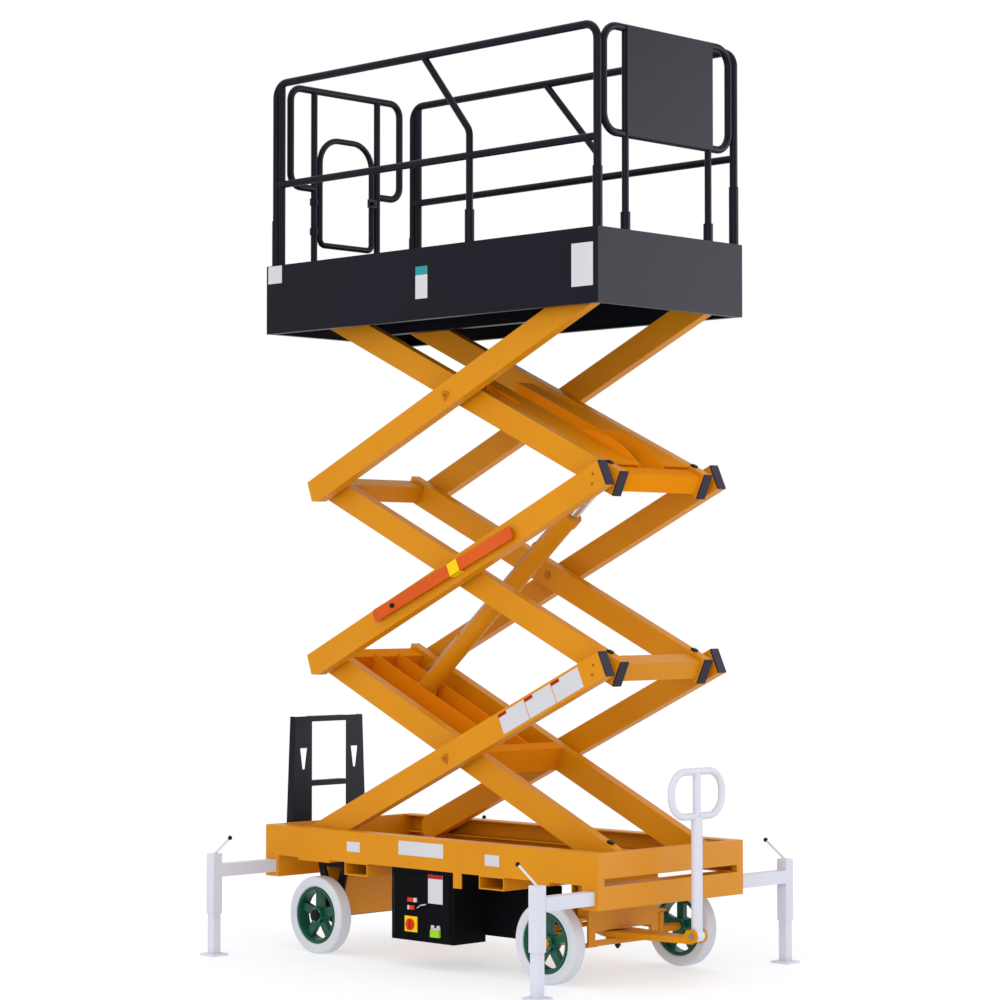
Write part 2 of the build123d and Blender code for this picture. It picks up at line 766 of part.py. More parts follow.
# Tow tongue: tapered plate on a vertical pin, crank to the tie rod and clevis for the handle
clevis_y = handle_radius + clevis_gap
tongue_end = handle_x - handle_eye_radius - clevis_gap - pin_clearance
tongue_top = tongue_z + tongue_thickness
with BuildPart() as tow_tongue:
    with BuildSketch(Plane.XY.offset(tongue_z)):
        with BuildLine():
            Polyline(
                (front_axle_x, -tongue_half_width),
                (tongue_end, -tongue_tip_half_width),
                (tongue_end, tongue_tip_half_width),
                (front_axle_x, tongue_half_width),
                (tie_x, steer_arm_width / 2),
                (tie_x, -steer_arm_width / 2),
                close=True,
            )
        make_face()
        with Locations((tie_x, 0)):
            Circle(steer_arm_width / 2)
        with Locations((front_axle_x, 0)):
            Circle(tongue_pin_radius + pin_clearance, mode=Mode.SUBTRACT)
    extrude(amount=tongue_thickness)
    with Locations((tie_x, 0, tongue_z)):
        Cylinder(tie_pin_radius, tie_z + tie_rod_radius - tongue_z, align=MIN_Z)
    for side in (-1, 1):
        with BuildSketch(Plane.XZ.offset(-side * (clevis_y + clevis_thickness / 2))):
            with BuildLine():
                Polyline(
                    (tongue_end - clevis_y, tongue_z),
                    (handle_x, tongue_z),
                    (handle_x, handle_pivot_z + handle_eye_radius),
                    (tongue_end, handle_pivot_z + handle_eye_radius),
                    (tongue_end - clevis_y, tongue_top),
                    close=True,
                )
            make_face()
            with Locations((handle_x, handle_pivot_z)):
                Circle(handle_eye_radius + clevis_gap * 2)
        extrude(amount=clevis_thickness / 2, both=True)
    cross_pin(handle_x, clevis_y, handle_pivot_z, handle_pin_radius, 2 * clevis_y)
save(tow_tongue.part, "tow_tongue")

# Tow handle: eye, stem and a rounded loop with the stem run through it
loop_bottom = handle_top - handle_loop_height
loop_half = handle_loop_width / 2 - handle_loop_radius
loop_low = loop_bottom + handle_loop_radius
loop_high = handle_top - handle_loop_radius
with BuildPart() as tow_handle:
    with Locations(Location((handle_x, handle_radius, handle_pivot_z), (90, 0, 0))):
        Cylinder(handle_eye_radius, 2 * handle_radius, align=MIN_Z)
    with Locations((handle_x, 0, handle_pivot_z)):
        Cylinder(handle_radius, loop_low - handle_pivot_z, align=MIN_Z)
    with Locations((handle_x, 0, loop_low)):
        Cylinder(handle_loop_radius * 1.1, loop_high - loop_low, align=MIN_Z)
    with BuildLine(Plane.YZ.offset(handle_x)) as loop_path:
        FilletPolyline(
            (-loop_half, loop_high),
            (loop_half, loop_high),
            (loop_half, loop_low),
            (-loop_half, loop_low),
            radius=handle_corner,
            close=True,
        )
    with BuildSketch(Plane(origin=loop_path.line @ 0, z_dir=loop_path.line % 0)):
        Circle(handle_loop_radius)
    sweep(path=loop_path.line)
    cross_pin(
        handle_x,
        handle_radius,
        handle_pivot_z,
        handle_pin_radius + pin_clearance,
        2 * handle_radius,
        Mode.SUBTRACT,
    )
save(tow_handle.part, "tow_handle")


def leg_reach(front, side):
    """Distance of a leg from the middle: the near front outrigger is pulled in a little."""
    return outrigger_reach - (near_front_pull_in if (front, side) == (1, -1) else 0)


def outrigger_arm(front, side):
    """Sliding arm with its shoe, the leg tube on its end and the crank rod."""
    reach = leg_reach(front, side)
    x = front * outrigger_x
    y = side * reach
    tail = reach - outrigger_reach + outrigger_tail
    arm_end = reach - leg_tube_size / 2
    shoe_width = cavity_width - 2 * outrigger_clearance
    shoe_height = cavity_height - 2 * outrigger_clearance
    with BuildPart() as arm:
        with Locations((x, side * (tail + arm_end) / 2, outrigger_z)):
            Box(outrigger_arm_size, arm_end - tail, outrigger_arm_size)
        with Locations((x, side * (tail + shoe_length / 2), outrigger_z)):
            Box(shoe_width, shoe_length, shoe_height)
        with Locations((x, y, leg_tube_bottom)):
            Box(leg_tube_size, leg_tube_size, leg_tube_top - leg_tube_bottom, align=MIN_Z)
            leg_bore = leg_tube_size - 2 * leg_tube_wall
            bore_height = leg_tube_top - leg_tube_bottom - leg_cap
            Box(leg_bore, leg_bore, bore_height, align=MIN_Z, mode=Mode.SUBTRACT)
        with Locations(Location((x, y, leg_tube_top - leg_cap / 2), (0, -front * (90 - crank_tilt), 0))):
            Cylinder(crank_radius, crank_length, align=MIN_Z)
            with Locations((0, 0, crank_length)):
                Cylinder(crank_knob_radius, crank_knob_length)
    return arm.part


def jack_leg(front, side):
    """Inner leg with its foot plate."""
    leg_size = leg_tube_size - 2 * leg_tube_wall - 2 * leg_clearance
    with BuildPart() as leg:
        with Locations((front * outrigger_x, side * leg_reach(front, side), 0)):
            Box(foot_size, foot_size, foot_thickness, align=MIN_Z)
            Box(leg_size, leg_size, leg_top, align=MIN_Z)
    return leg.part


for end_name, front in (("front", 1), ("rear", -1)):
    for side_name, side in (("left", 1), ("right", -1)):
        save(outrigger_arm(front, side), f"outrigger_arm_{end_name}_{side_name}")
        save(jack_leg(front, side), f"jack_leg_{end_name}_{side_name}")

# Bracket between the near side beam and the power cabinet
with BuildPart() as cabinet_bracket:
    with Locations((cabinet_front_x, -half_width, base_bottom)):
        Box(
            cabinet_bracket_width,
            beam_wall,
            cabinet_bracket_height,
            align=(Align.MIN, Align.MIN, Align.MAX),
        )
save(cabinet_bracket.part, "cabinet_bracket")

# Power cabinet with a proud door, and the hydraulic unit behind it, which reaches on under the fork pocket
cabinet_length = cabinet_front_x - cabinet_rear_x
cabinet_middle = (cabinet_front_x + cabinet_rear_x) / 2
cabinet_height = base_bottom - cabinet_bottom
cabinet_face = -half_width + door_proud
with BuildPart() as power_cabinet:
    with Locations((cabinet_middle, cabinet_face, cabinet_bottom)):
        Box(cabinet_length, cabinet_depth, cabinet_height, align=(Align.CENTER, Align.MIN, Align.MIN))
    fillet(power_cabinet.edges().filter_by(Axis.Z), cabinet_corner)
    with Locations((cabinet_middle, cabinet_face, cabinet_bottom + cabinet_height / 2)):
        Box(
            cabinet_length - 2 * door_inset,
            door_proud,
            cabinet_height - 2 * door_inset,
            align=(Align.CENTER, Align.MAX, Align.CENTER),
        )
save(power_cabinet.part, "power_cabinet")

unit_length = unit_front_x - unit_rear_x
unit_toe_height = base_bottom - pocket_height - unit_gap - unit_bottom
with BuildPart() as pump_unit:
    with Locations(((unit_front_x + unit_rear_x) / 2, cabinet_face + cabinet_depth, unit_bottom)):
        Box(unit_length, unit_depth, base_bottom - unit_bottom, align=(Align.CENTER, Align.MIN, Align.MIN))
    with Locations((unit_front_x, cabinet_face + cabinet_depth, unit_bottom)):
        Box(unit_toe_length, unit_depth, unit_toe_height, align=(Align.MIN, Align.MIN, Align.MIN))
    fillet(pump_unit.edges().filter_by(Axis.Z), cabinet_corner)
save(pump_unit.part, "pump_unit")

# Ladder: two folded uprights with tapered slots, rungs and arms to the rear end beam
slot_y = (ladder_top_half + ladder_inner_half) / 2
with BuildPart() as ladder:
    with BuildSketch(Plane.YZ.offset(ladder_face - ladder_plate)):
        with BuildLine():
            Polyline(
                (ladder_inner_half, ladder_bottom),
                (ladder_bottom_half, ladder_bottom),
                (ladder_top_half, ladder_top),
                (ladder_inner_half, ladder_top),
                close=True,
            )
        make_face()
        with BuildLine():
            Polyline(
                (slot_y - ladder_slot_width / 2, ladder_slot_top),
                (slot_y + ladder_slot_width / 2, ladder_slot_top),
                (slot_y + ladder_slot_taper / 2, ladder_slot_top - ladder_slot_length),
                (slot_y - ladder_slot_taper / 2, ladder_slot_top - ladder_slot_length),
                close=True,
            )
        make_face(mode=Mode.SUBTRACT)
    extrude(amount=ladder_plate)
    with BuildSketch(Plane.YZ.offset(ladder_back_x)):
        with BuildLine():
            Polyline(
                (ladder_bottom_half - ladder_plate, ladder_bottom),
                (ladder_bottom_half, ladder_bottom),
                (ladder_top_half, ladder_top),
                (ladder_top_half - ladder_plate, ladder_top),
                close=True,
            )
        make_face()
    extrude(amount=ladder_depth)
    mirror(about=Plane.XZ)
    for step in range(3):
        with Locations((ladder_back_x, 0, ladder_top - step * rung_pitch)):
            Box(
                ladder_depth,
                2 * ladder_inner_half,
                rung_height,
                align=(Align.MIN, Align.CENTER, Align.MAX),
            )
    for side in (-1, 1):
        with Locations((ladder_face, side * ladder_arm_y, base_top - base_height / 2)):
            Box(
                -half_length - ladder_face,
                ladder_plate * 2,
                ladder_arm_height,
                align=(Align.MIN, Align.CENTER, Align.CENTER),
            )
save(ladder.part, "ladder")

# Scissor arms
for stage in range(1, stages + 1):
    save(outer_arms(stage), f"outer_arms_{stage}")
    save(inner_arms(stage), f"inner_arms_{stage}")
for stage in range(1, stages):
    cap_start = arm_length + arm_front_overhang + cap_length / 2
    save(end_caps(outer_plane, stage, -outer_arm_y, cap_start), f"outer_caps_{stage}")
for stage in range(2, stages + 1):
    cap_start = -arm_front_overhang - cap_length / 2
    save(end_caps(inner_plane, stage, -inner_face, cap_start), f"inner_caps_{stage}")

# Cross members of the inner frames. The first has a tray below the cylinder, the third one above it
lower_seat = arm_length - cylinder_lower_seat
upper_seat = cylinder_upper_seat
lower_eye = inner_plane(1, 0).from_local_coords(Vector(lower_seat, 0, 0))
upper_eye = inner_plane(stages, 0).from_local_coords(Vector(upper_seat, 0, 0))
tray_start = arm_length - cross_size / 2
with BuildPart() as inner_cross_1:
    add(cross_box(1, arm_length))
    add(tray(1, tray_start, tray_start - lower_tray_length, -1, inner_arm_y))
    cross_pin(lower_eye.X, rib_y, lower_eye.Z, eye_pin_radius, 2 * rib_y)
save(inner_cross_1.part, "inner_cross_1")
with BuildPart() as inner_cross_2:
    add(cross_box(2, 0))
    add(cross_box(2, arm_length))
save(inner_cross_2.part, "inner_cross_2")
slot_start = cross_size / 2
tail_start = slot_start + upper_tray_length
tail_end = tail_start + upper_tray_tail
with BuildPart() as inner_cross_3:
    add(cross_box(stages, 0))
    add(tray(stages, slot_start, tail_start, 1, inner_arm_y))
    add(tray(stages, tail_start, tail_end, 1, upper_tail_half_width))
    for side in (-1, 1):
        with BuildSketch(inner_plane(stages, side * (rib_y + rib_thickness / 2))):
            with BuildLine():
                ThreePointArc(
                    (horn_start, arm_height / 2),
                    (horn_start + horn_length / 2, arm_height / 2 + horn_height),
                    (horn_start + horn_length, arm_height / 2),
                )
                Line((horn_start + horn_length, arm_height / 2), (horn_start, arm_height / 2))
            make_face()
        extrude(amount=rib_thickness / 2, both=True)
    with BuildSketch(inner_plane(stages, 0)):
        with Locations(((slot_start + tail_end) / 2, 0)):
            Rectangle(tail_end - slot_start, 2 * arm_height)
    extrude(amount=rib_y, both=True, mode=Mode.SUBTRACT)
save(inner_cross_3.part, "inner_cross_3")

# Rollers at the open ends of the linkage
with BuildPart() as base_rollers:
    roller_face = outer_face + roller_gap
    cross_pin(rear_x, -roller_face, pivot_z, roller_radius, roller_width)
    cross_pin(rear_x, -roller_face, pivot_z, pin_radius + tyre_seat_gap, roller_width, Mode.SUBTRACT)
    mirror(about=Plane.XZ)
save(base_rollers.part, "base_rollers")
with BuildPart() as deck_rollers:
    roller_end = inner_arm_y - deck_roller_gap - roller_width
    cross_pin(rear_x, -roller_end, top_z, roller_radius, roller_width)
    cross_pin(rear_x, -roller_end, top_z, pin_radius + tyre_seat_gap, roller_width, Mode.SUBTRACT)
    mirror(about=Plane.XZ)
save(deck_rollers.part, "deck_rollers")

# Lift cylinder: barrel on the first inner frame, rod up to the third
stroke_axis = (upper_eye - lower_eye).normalized()
eye_distance = (upper_eye - lower_eye).length


def along_cylinder(distance):
    """Plane square to the cylinder, at a distance from its lower eye."""
    return Plane(origin=lower_eye + stroke_axis * distance, x_dir=(0, 1, 0), z_dir=stroke_axis)


with BuildPart() as cylinder_barrel:
    with BuildSketch(along_cylinder(0)):
        Circle(barrel_radius)
    extrude(amount=barrel_length)
    with BuildSketch(along_cylinder(barrel_length - gland_length)):
        Circle(gland_radius)
    extrude(amount=gland_length)
    cross_pin(lower_eye.X, barrel_eye_half, lower_eye.Z, barrel_eye_radius, 2 * barrel_eye_half)
    with BuildSketch(along_cylinder(barrel_floor)):
        Circle(rod_radius + rod_clearance)
    extrude(amount=barrel_length - barrel_floor, mode=Mode.SUBTRACT)
    eye_hole = eye_pin_radius + pin_clearance
    cross_pin(lower_eye.X, rib_y, lower_eye.Z, eye_hole, 2 * rib_y, Mode.SUBTRACT)
save(cylinder_barrel.part, "cylinder_barrel")

with BuildPart() as cylinder_rod:
    with BuildSketch(along_cylinder(eye_distance - rod_length)):
        Circle(rod_radius)
    extrude(amount=rod_length)
    cross_pin(upper_eye.X, rod_eye_half, upper_eye.Z, rod_eye_radius, 2 * rod_eye_half)
    rod_pin_half = rib_y - rod_pin_gap
    cross_pin(upper_eye.X, rod_pin_half, upper_eye.Z, eye_pin_radius, 2 * rod_pin_half)
save(cylinder_rod.part, "cylinder_rod")

# Safety prop on the near outer arm of the second stage
prop_lift = (prop_rear_lift + prop_front_lift) / 2
prop_tilt = math.degrees(math.atan2(prop_front_lift - prop_rear_lift, prop_length))
prop_end = prop_start + prop_length
with BuildPart() as safety_prop:
    with BuildSketch(outer_plane(2, -outer_face - prop_gap)):
        with Locations(((prop_start + prop_end) / 2, prop_lift)):
            RectangleRounded(prop_length, prop_height, prop_height / 4, rotation=prop_tilt)
    extrude(amount=prop_thickness)
    with BuildSketch(outer_plane(2, -outer_face)):
        with Locations((prop_start + prop_pad, prop_rear_lift), (prop_end - prop_pad, prop_front_lift)):
            Rectangle(prop_pad, prop_height / 2)
    extrude(amount=prop_gap)
save(safety_prop.part, "safety_prop")

# Platform skirt: four walls with a turned-in foot
with BuildPart() as skirt:
    with Locations((0, 0, skirt_bottom)):
        Box(platform_length, platform_width, skirt_height, align=MIN_Z)
        Box(
            platform_length - 2 * skirt_wall,
            platform_width - 2 * skirt_wall,
            skirt_height,
            align=MIN_Z,
            mode=Mode.SUBTRACT,
        )
        Box(platform_length, platform_width, skirt_wall, align=MIN_Z)
        Box(
            platform_length - 2 * skirt_lip,
            platform_width - 2 * skirt_lip,
            skirt_wall,
            align=MIN_Z,
            mode=Mode.SUBTRACT,
        )
save(skirt.part, "skirt")

# Deck plate on its bearers, with a raised floor plate
inside_length = platform_length - 2 * skirt_wall
inside_width = platform_width - 2 * skirt_wall
with BuildPart() as deck:
    with Locations((0, 0, bearer_top)):
        Box(inside_length, inside_width, deck_thickness, align=MIN_Z)
        Box(
            platform_length - 2 * floor_end_margin,
            platform_width - 2 * floor_side_margin,
            deck_thickness + floor_rise,
            align=MIN_Z,
        )
    with Locations(*[(pivot_x * place, 0, bearer_top) for place in (-1, -0.5, 0, 0.5, 1)]):
        Box(bearer_width, inside_width, bearer_height, align=MAX_Z)
save(deck.part, "deck")

# Tracks for the upper rollers and brackets for the last outer arms
track_half = roller_radius + roller_clearance + track_wall
track_web = inner_arm_y - deck_roller_gap - roller_width - deck_roller_gap
with BuildPart() as deck_tracks:
    with BuildSketch(Plane.YZ.offset(-platform_length / 2 + skirt_lip)):
        with Locations((-track_web, top_z)):
            Rectangle(
                inner_arm_y - bracket_gap - track_web,
                2 * track_half,
                align=(Align.MAX, Align.CENTER),
            )
        with Locations((-track_web - track_wall, top_z)):
            Rectangle(
                inner_arm_y,
                2 * track_half - 2 * track_wall,
                align=(Align.MAX, Align.CENTER),
                mode=Mode.SUBTRACT,
            )
        with Locations((-track_web, top_z)):
            Rectangle(track_wall, bearer_bottom - top_z, align=(Align.MAX, Align.MIN))
    extrude(amount=track_length)
    plate_half = arm_height / 2
    for y in (outer_arm_y - bracket_gap - platform_bracket, outer_face + bracket_gap):
        with Locations((pivot_x, -y, bearer_bottom)):
            Box(
                2 * plate_half,
                platform_bracket,
                bearer_bottom - top_z + bracket_drop,
                align=(Align.CENTER, Align.MAX, Align.MAX),
            )
    pin_start = outer_arm_y - bracket_gap - platform_bracket
    pin_length = arm_width + 2 * bracket_gap + 2 * platform_bracket
    cross_pin(pivot_x, -pin_start, top_z, pin_radius, pin_length)
    mirror(about=Plane.XZ)
save(deck_tracks.part, "deck_tracks")

# Side guard rails: hoop with a twin post at the rear, mid rail and a mid post that leans back
rail_z = deck_top + rail_top - rail_radius
mid_rail_z = deck_top + mid_rail_height
bend_z = deck_top + mid_post_bend
twin_post_x = side_rail_rear_x + twin_post_pitch
with BuildPart() as side_guard_rails:
    for side, post_x, post_top_x in ((-1, near_post_x, near_post_top_x), (1, far_post_x, far_post_top_x)):
        side_plane = Plane.XZ.offset(-side * side_rail_y)
        with BuildLine(side_plane) as hoop_path:
            FilletPolyline(
                (side_rail_rear_x, deck_top),
                (side_rail_rear_x, rail_z),
                (side_rail_front_x, rail_z),
                (side_rail_front_x, deck_top),
                radius=side_rail_corner,
            )
        with BuildSketch(Plane(origin=hoop_path.line @ 0, z_dir=hoop_path.line % 0)):
            Circle(rail_radius)
        sweep(path=hoop_path.line)
        with BuildLine(side_plane) as post_path:
            FilletPolyline(
                (post_x, deck_top),
                (post_x, bend_z),
                (post_top_x, rail_z),
                radius=side_rail_corner,
            )
        with BuildSketch(Plane(origin=post_path.line @ 0, z_dir=post_path.line % 0)):
            Circle(mid_post_radius)
        sweep(path=post_path.line)
        with Locations((twin_post_x, side * side_rail_y, deck_top)):
            Cylinder(twin_post_radius, rail_z - deck_top, align=MIN_Z)
        with Locations(Location((side_rail_rear_x, side * side_rail_y, mid_rail_z), (0, 90, 0))):
            Cylinder(panel_radius, side_rail_front_x - side_rail_rear_x, align=MIN_Z)
        for x, height in (
            (side_rail_rear_x, rear_socket_height),
            (post_x, mid_socket_height),
            (side_rail_front_x, front_socket_height),
        ):
            with Locations((x, side * side_rail_y, deck_top)):
                Cylinder(socket_radius, height, align=MIN_Z)
save(side_guard_rails.part, "side_guard_rails")

# Front guard panel: rounded loop on two legs, with a sheet in front of them
front_low = deck_top + front_panel_bottom + panel_radius
with BuildPart() as front_guard_rail:
    with BuildLine(Plane.YZ.offset(front_panel_x)) as front_loop:
        FilletPolyline(
            (-front_panel_half, rail_z),
            (front_panel_half, rail_z),
            (front_panel_half, front_low),
            (-front_panel_half, front_low),
            radius=front_panel_corner,
            close=True,
        )
    with BuildSketch(Plane(origin=front_loop.line @ 0, z_dir=front_loop.line % 0)):
        Circle(panel_radius)
    sweep(path=front_loop.line)
    for side in (-1, 1):
        with Locations((front_panel_x, side * front_leg_y, deck_top)):
            Cylinder(front_leg_radius, rail_z - deck_top, align=MIN_Z)
            Cylinder(socket_radius, front_socket_leg_height, align=MIN_Z)
save(front_guard_rail.part, "front_guard_rail")

with BuildPart() as front_sheet:
    with Locations((front_panel_x + panel_radius + sheet_gap, 0, (front_low + rail_z) / 2)):
        Box(
            sheet_thickness,
            2 * (front_leg_y + sheet_overlap),
            rail_z - front_low + panel_radius,
            align=(Align.MIN, Align.CENTER, Align.CENTER),
        )
save(front_sheet.part, "front_sheet")

# Rear guard panel: rounded loop cut away between two posts, where the gate is
rear_low = deck_top + rear_panel_bottom + panel_radius
with BuildPart() as rear_guard_rail:
    with BuildLine(Plane.YZ.offset(rear_panel_x)) as rear_loop:
        FilletPolyline(
            (-rear_post_y, rear_low),
            (-rear_panel_half, rear_low),
            (-rear_panel_half, rail_z),
            (rear_panel_half, rail_z),
            (rear_panel_half, rear_low),
            (rear_post_y, rear_low),
            radius=rear_panel_corner,
        )
    with BuildSketch(Plane(origin=rear_loop.line @ 0, z_dir=rear_loop.line % 0)):
        Circle(panel_radius)
    sweep(path=rear_loop.line)
    for side in (-1, 1):
        with Locations((rear_panel_x, side * rear_post_y, deck_top)):
            Cylinder(rear_post_radius, rail_z - deck_top, align=MIN_Z)
save(rear_guard_rail.part, "rear_guard_rail")

# Arched gate, hung on two rings round one rear post
gate_low = deck_top + gate_bottom
gate_high = deck_top + gate_top
with BuildPart() as gate:
    with BuildLine(Plane.YZ.offset(rear_panel_x)) as gate_path:
        FilletPolyline(
            (-gate_half, gate_low),
            (-gate_half, gate_high),
            (gate_half, gate_high),
            (gate_half, gate_low),
            radius=[gate_foot_corner, gate_arch, gate_arch, gate_foot_corner],
            close=True,
        )
    with BuildSketch(Plane(origin=gate_path.line @ 0, z_dir=gate_path.line % 0)):
        Circle(gate_radius)
    sweep(path=gate_path.line)
    ring_bore = rear_post_radius + pin_clearance
    for level in (gate_ring_low, gate_ring_high):
        with Locations((rear_panel_x, rear_hinge_y, gate_low + level)):
            Cylinder(ring_bore + gate_ring_wall, gate_ring_height)
    with Locations((rear_panel_x, rear_hinge_y, deck_top)):
        Cylinder(ring_bore, rail_z - deck_top, align=MIN_Z, mode=Mode.SUBTRACT)
save(gate.part, "gate")
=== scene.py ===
import json
import math

import bmesh
import bpy
from mathutils import Matrix, Vector


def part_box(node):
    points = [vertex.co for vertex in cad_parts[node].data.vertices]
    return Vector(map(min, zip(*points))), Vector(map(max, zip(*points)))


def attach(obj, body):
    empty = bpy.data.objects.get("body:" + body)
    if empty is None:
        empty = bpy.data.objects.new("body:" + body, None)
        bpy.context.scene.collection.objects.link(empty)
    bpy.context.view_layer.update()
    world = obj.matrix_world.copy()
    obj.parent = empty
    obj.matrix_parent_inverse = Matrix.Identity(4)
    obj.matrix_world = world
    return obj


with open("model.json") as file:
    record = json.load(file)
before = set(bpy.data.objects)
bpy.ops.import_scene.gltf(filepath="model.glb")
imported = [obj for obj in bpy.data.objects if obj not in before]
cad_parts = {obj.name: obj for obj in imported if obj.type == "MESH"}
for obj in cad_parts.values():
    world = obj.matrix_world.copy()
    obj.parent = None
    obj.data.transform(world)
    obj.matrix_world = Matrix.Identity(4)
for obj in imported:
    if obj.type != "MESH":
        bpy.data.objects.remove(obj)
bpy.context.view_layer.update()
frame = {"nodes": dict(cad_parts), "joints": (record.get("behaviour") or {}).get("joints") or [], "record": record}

# Camera, fitted to the photograph: place and reach in metres, angles in degrees, lens in millimetres
CAMERA_PLACE = (8.8546, -8.9344, 1.6466)
CAMERA_YAW = 134.6775
CAMERA_PITCH = 1.8775
CAMERA_LENS = 100.52
CAMERA_SENSOR = 36.0
CAMERA_REACH = 100.0

# Places on the machine that the CAD frame gives; here and below lengths are in metres
STAGES = (1, 2, 3)
SIDES = (-1, 1)
WHEELS = ("front_left", "front_right", "rear_left", "rear_right")
PIVOTS = {joint["name"]: Vector(joint["pos_m"]) for joint in frame["joints"] if "pos_m" in joint}
BASE_PIVOT = PIVOTS["scissor_lift"]
CENTRES = {stage: PIVOTS[f"cross_pivot_{stage}"] for stage in STAGES}
ARM_HALF = (CENTRES[1] - BASE_PIVOT).length
ARM_LENGTH = 2 * ARM_HALF
ARM_ANGLE = math.atan2(CENTRES[1].z - BASE_PIVOT.z, BASE_PIVOT.x - CENTRES[1].x)
ARM_HEIGHT = 0.112
OUTER_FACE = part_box("outer_arms_2")[1].y
INNER_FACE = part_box("inner_cross_2")[1].y
PROP_DEPTH = -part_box("safety_prop")[0].y - OUTER_FACE
FLOOR_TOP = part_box("deck")[1].z

# Thickness of a card, and the small rounded edges that catch the light
CARD = 0.0015
CARD_EDGE = 0.0005
EDGE = 0.0012
NUT_EDGE = 0.001
SCREW_EDGE = 0.0006
KNOB_EDGE = 0.002

# Number of flats round a nut, a thin rod, a pin, a small knob, a pin's head, a dial and a ring
NUT_FLATS = 6
THIN_FLATS = 12
PIN_FLATS = 16
KNOB_FLATS = 20
HEAD_FLATS = 24
DIAL_FLATS = 32
RING_FLATS = 10
RING_STEPS = 48

# Angles in radians past which an edge of a block or a rod is rounded
BLOCK_SHARP = 0.6
ROD_SHARP = 1.0

# Parts of a noise's range over which two shades blend, and how far its grain moves gloss and relief
BLEND_START = 0.3
BLEND_END = 0.7
PATCH_DETAIL = 3.0
GRAIN_DETAIL = 2.0
GLOSS_DRIFT = 0.05
RELIEF_DEPTH = 0.001


def srgb(red, green, blue):
    """Colour as it looks on screen, 0 to 255, turned into the linear values a shader takes."""
    def linear(value):
        value = value / 255
        return value / 12.92 if value <= 0.04045 else ((value + 0.055) / 1.055) ** 2.4
    return (linear(red), linear(green), linear(blue), 1.0)


def noise(tree, scale, detail):
    """Noise in the piece's own coordinates, as a value."""
    place = tree.nodes.new("ShaderNodeTexCoord")
    texture = tree.nodes.new("ShaderNodeTexNoise")
    texture.inputs["Scale"].default_value = scale
    texture.inputs["Detail"].default_value = detail
    tree.links.new(place.outputs["Object"], texture.inputs["Vector"])
    return texture.outputs["Fac"]


def blend(tree, value, low, high):
    """Two colours spread over the middle of a value's range."""
    node = tree.nodes.new("ShaderNodeValToRGB")
    node.color_ramp.elements[0].position = BLEND_START
    node.color_ramp.elements[1].position = BLEND_END
    node.color_ramp.elements[0].color = low
    node.color_ramp.elements[1].color = high
    tree.links.new(value, node.inputs["Fac"])
    return node.outputs["Color"]


def spread(tree, value, low, high):
    """A value from 0 to 1 laid over a range of numbers."""
    node = tree.nodes.new("ShaderNodeMapRange")
    node.inputs["To Min"].default_value = low
    node.inputs["To Max"].default_value = high
    tree.links.new(value, node.inputs["Value"])
    return node.outputs["Result"]


def finish(name, low, high, rough, shine=0.12, patch=3.0, grain=260.0, bump=0.06, metal=0.0):
    """Surface whose colour drifts between two shades, with a fine grain in its gloss and relief."""
    material = bpy.data.materials.new(name)
    material.use_nodes = True
    tree = material.node_tree
    shader = tree.nodes["Principled BSDF"]
    shader.inputs["Metallic"].default_value = metal
    shader.inputs["Specular IOR Level"].default_value = shine
    shade = blend(tree, noise(tree, patch, PATCH_DETAIL), low, high)
    tree.links.new(shade, shader.inputs["Base Color"])
    fine = noise(tree, grain, GRAIN_DETAIL)
    gloss = spread(tree, fine, rough - GLOSS_DRIFT, rough + GLOSS_DRIFT)
    tree.links.new(gloss, shader.inputs["Roughness"])
    relief = tree.nodes.new("ShaderNodeBump")
    relief.inputs["Strength"].default_value = bump
    relief.inputs["Distance"].default_value = RELIEF_DEPTH
    tree.links.new(fine, relief.inputs["Height"])
    tree.links.new(relief.outputs["Normal"], shader.inputs["Normal"])
    return material


def rubber(name, low, high):
    """Dull surface with a finer and deeper grain than paint."""
    return finish(name, low, high, 0.6, grain=420.0, bump=0.12)


def card(name, low, high):
    """Smooth surface of a blank plate."""
    return finish(name, low, high, 0.5, bump=0.02)


orange_paint = finish("orange_paint", srgb(202, 130, 8), srgb(208, 136, 14), 0.4)
# Trays: an orange lighter than the rest, painted light that offsets the shade they sit in, with almost no gloss
tray_paint_painted_light = finish("tray_paint_painted_light", srgb(218, 130, 8), srgb(224, 136, 14), 0.6, shine=0.01)
pin_paint = finish("pin_paint", srgb(177, 103, 6), srgb(184, 109, 10), 0.45)
dark_orange = finish("dark_orange", srgb(150, 84, 6), srgb(160, 92, 10), 0.45)
black_paint = finish("black_paint", srgb(14, 13, 24), srgb(18, 17, 29), 0.4, shine=0.1)
cabinet_black = finish("cabinet_black", srgb(9, 9, 13), srgb(13, 13, 17), 0.5, shine=0.03)
white_paint = finish("white_paint", srgb(203, 204, 216), srgb(210, 211, 222), 0.45)
green_paint = finish("green_paint", srgb(9, 72, 53), srgb(15, 86, 65), 0.38, shine=0.25)
white_rubber = rubber("white_rubber", srgb(196, 198, 205), srgb(206, 208, 214))
black_rubber = rubber("black_rubber", srgb(40, 38, 50), srgb(48, 45, 58))
bare_steel = finish("bare_steel", srgb(150, 150, 154), srgb(172, 172, 176), 0.35, metal=1.0)
chromed_steel = finish(
    "chromed_steel", srgb(196, 197, 202), srgb(214, 214, 218), 0.12, bump=0.01, metal=1.0
)
red_paint = finish("red_paint", srgb(198, 78, 16), srgb(206, 86, 22), 0.45)
yellow_paint = finish("yellow_paint", srgb(236, 190, 0), srgb(242, 200, 12), 0.45)
white_card = card("white_card", srgb(194, 194, 199), srgb(202, 202, 206))
red_card = card("red_card", srgb(150, 20, 26), srgb(164, 28, 32))
teal_card = card("teal_card", srgb(40, 132, 140), srgb(52, 144, 150))
green_plastic = finish("green_plastic", srgb(140, 190, 30), srgb(154, 202, 44), 0.5)
red_plastic = finish("red_plastic", srgb(204, 48, 20), srgb(214, 58, 28), 0.4)
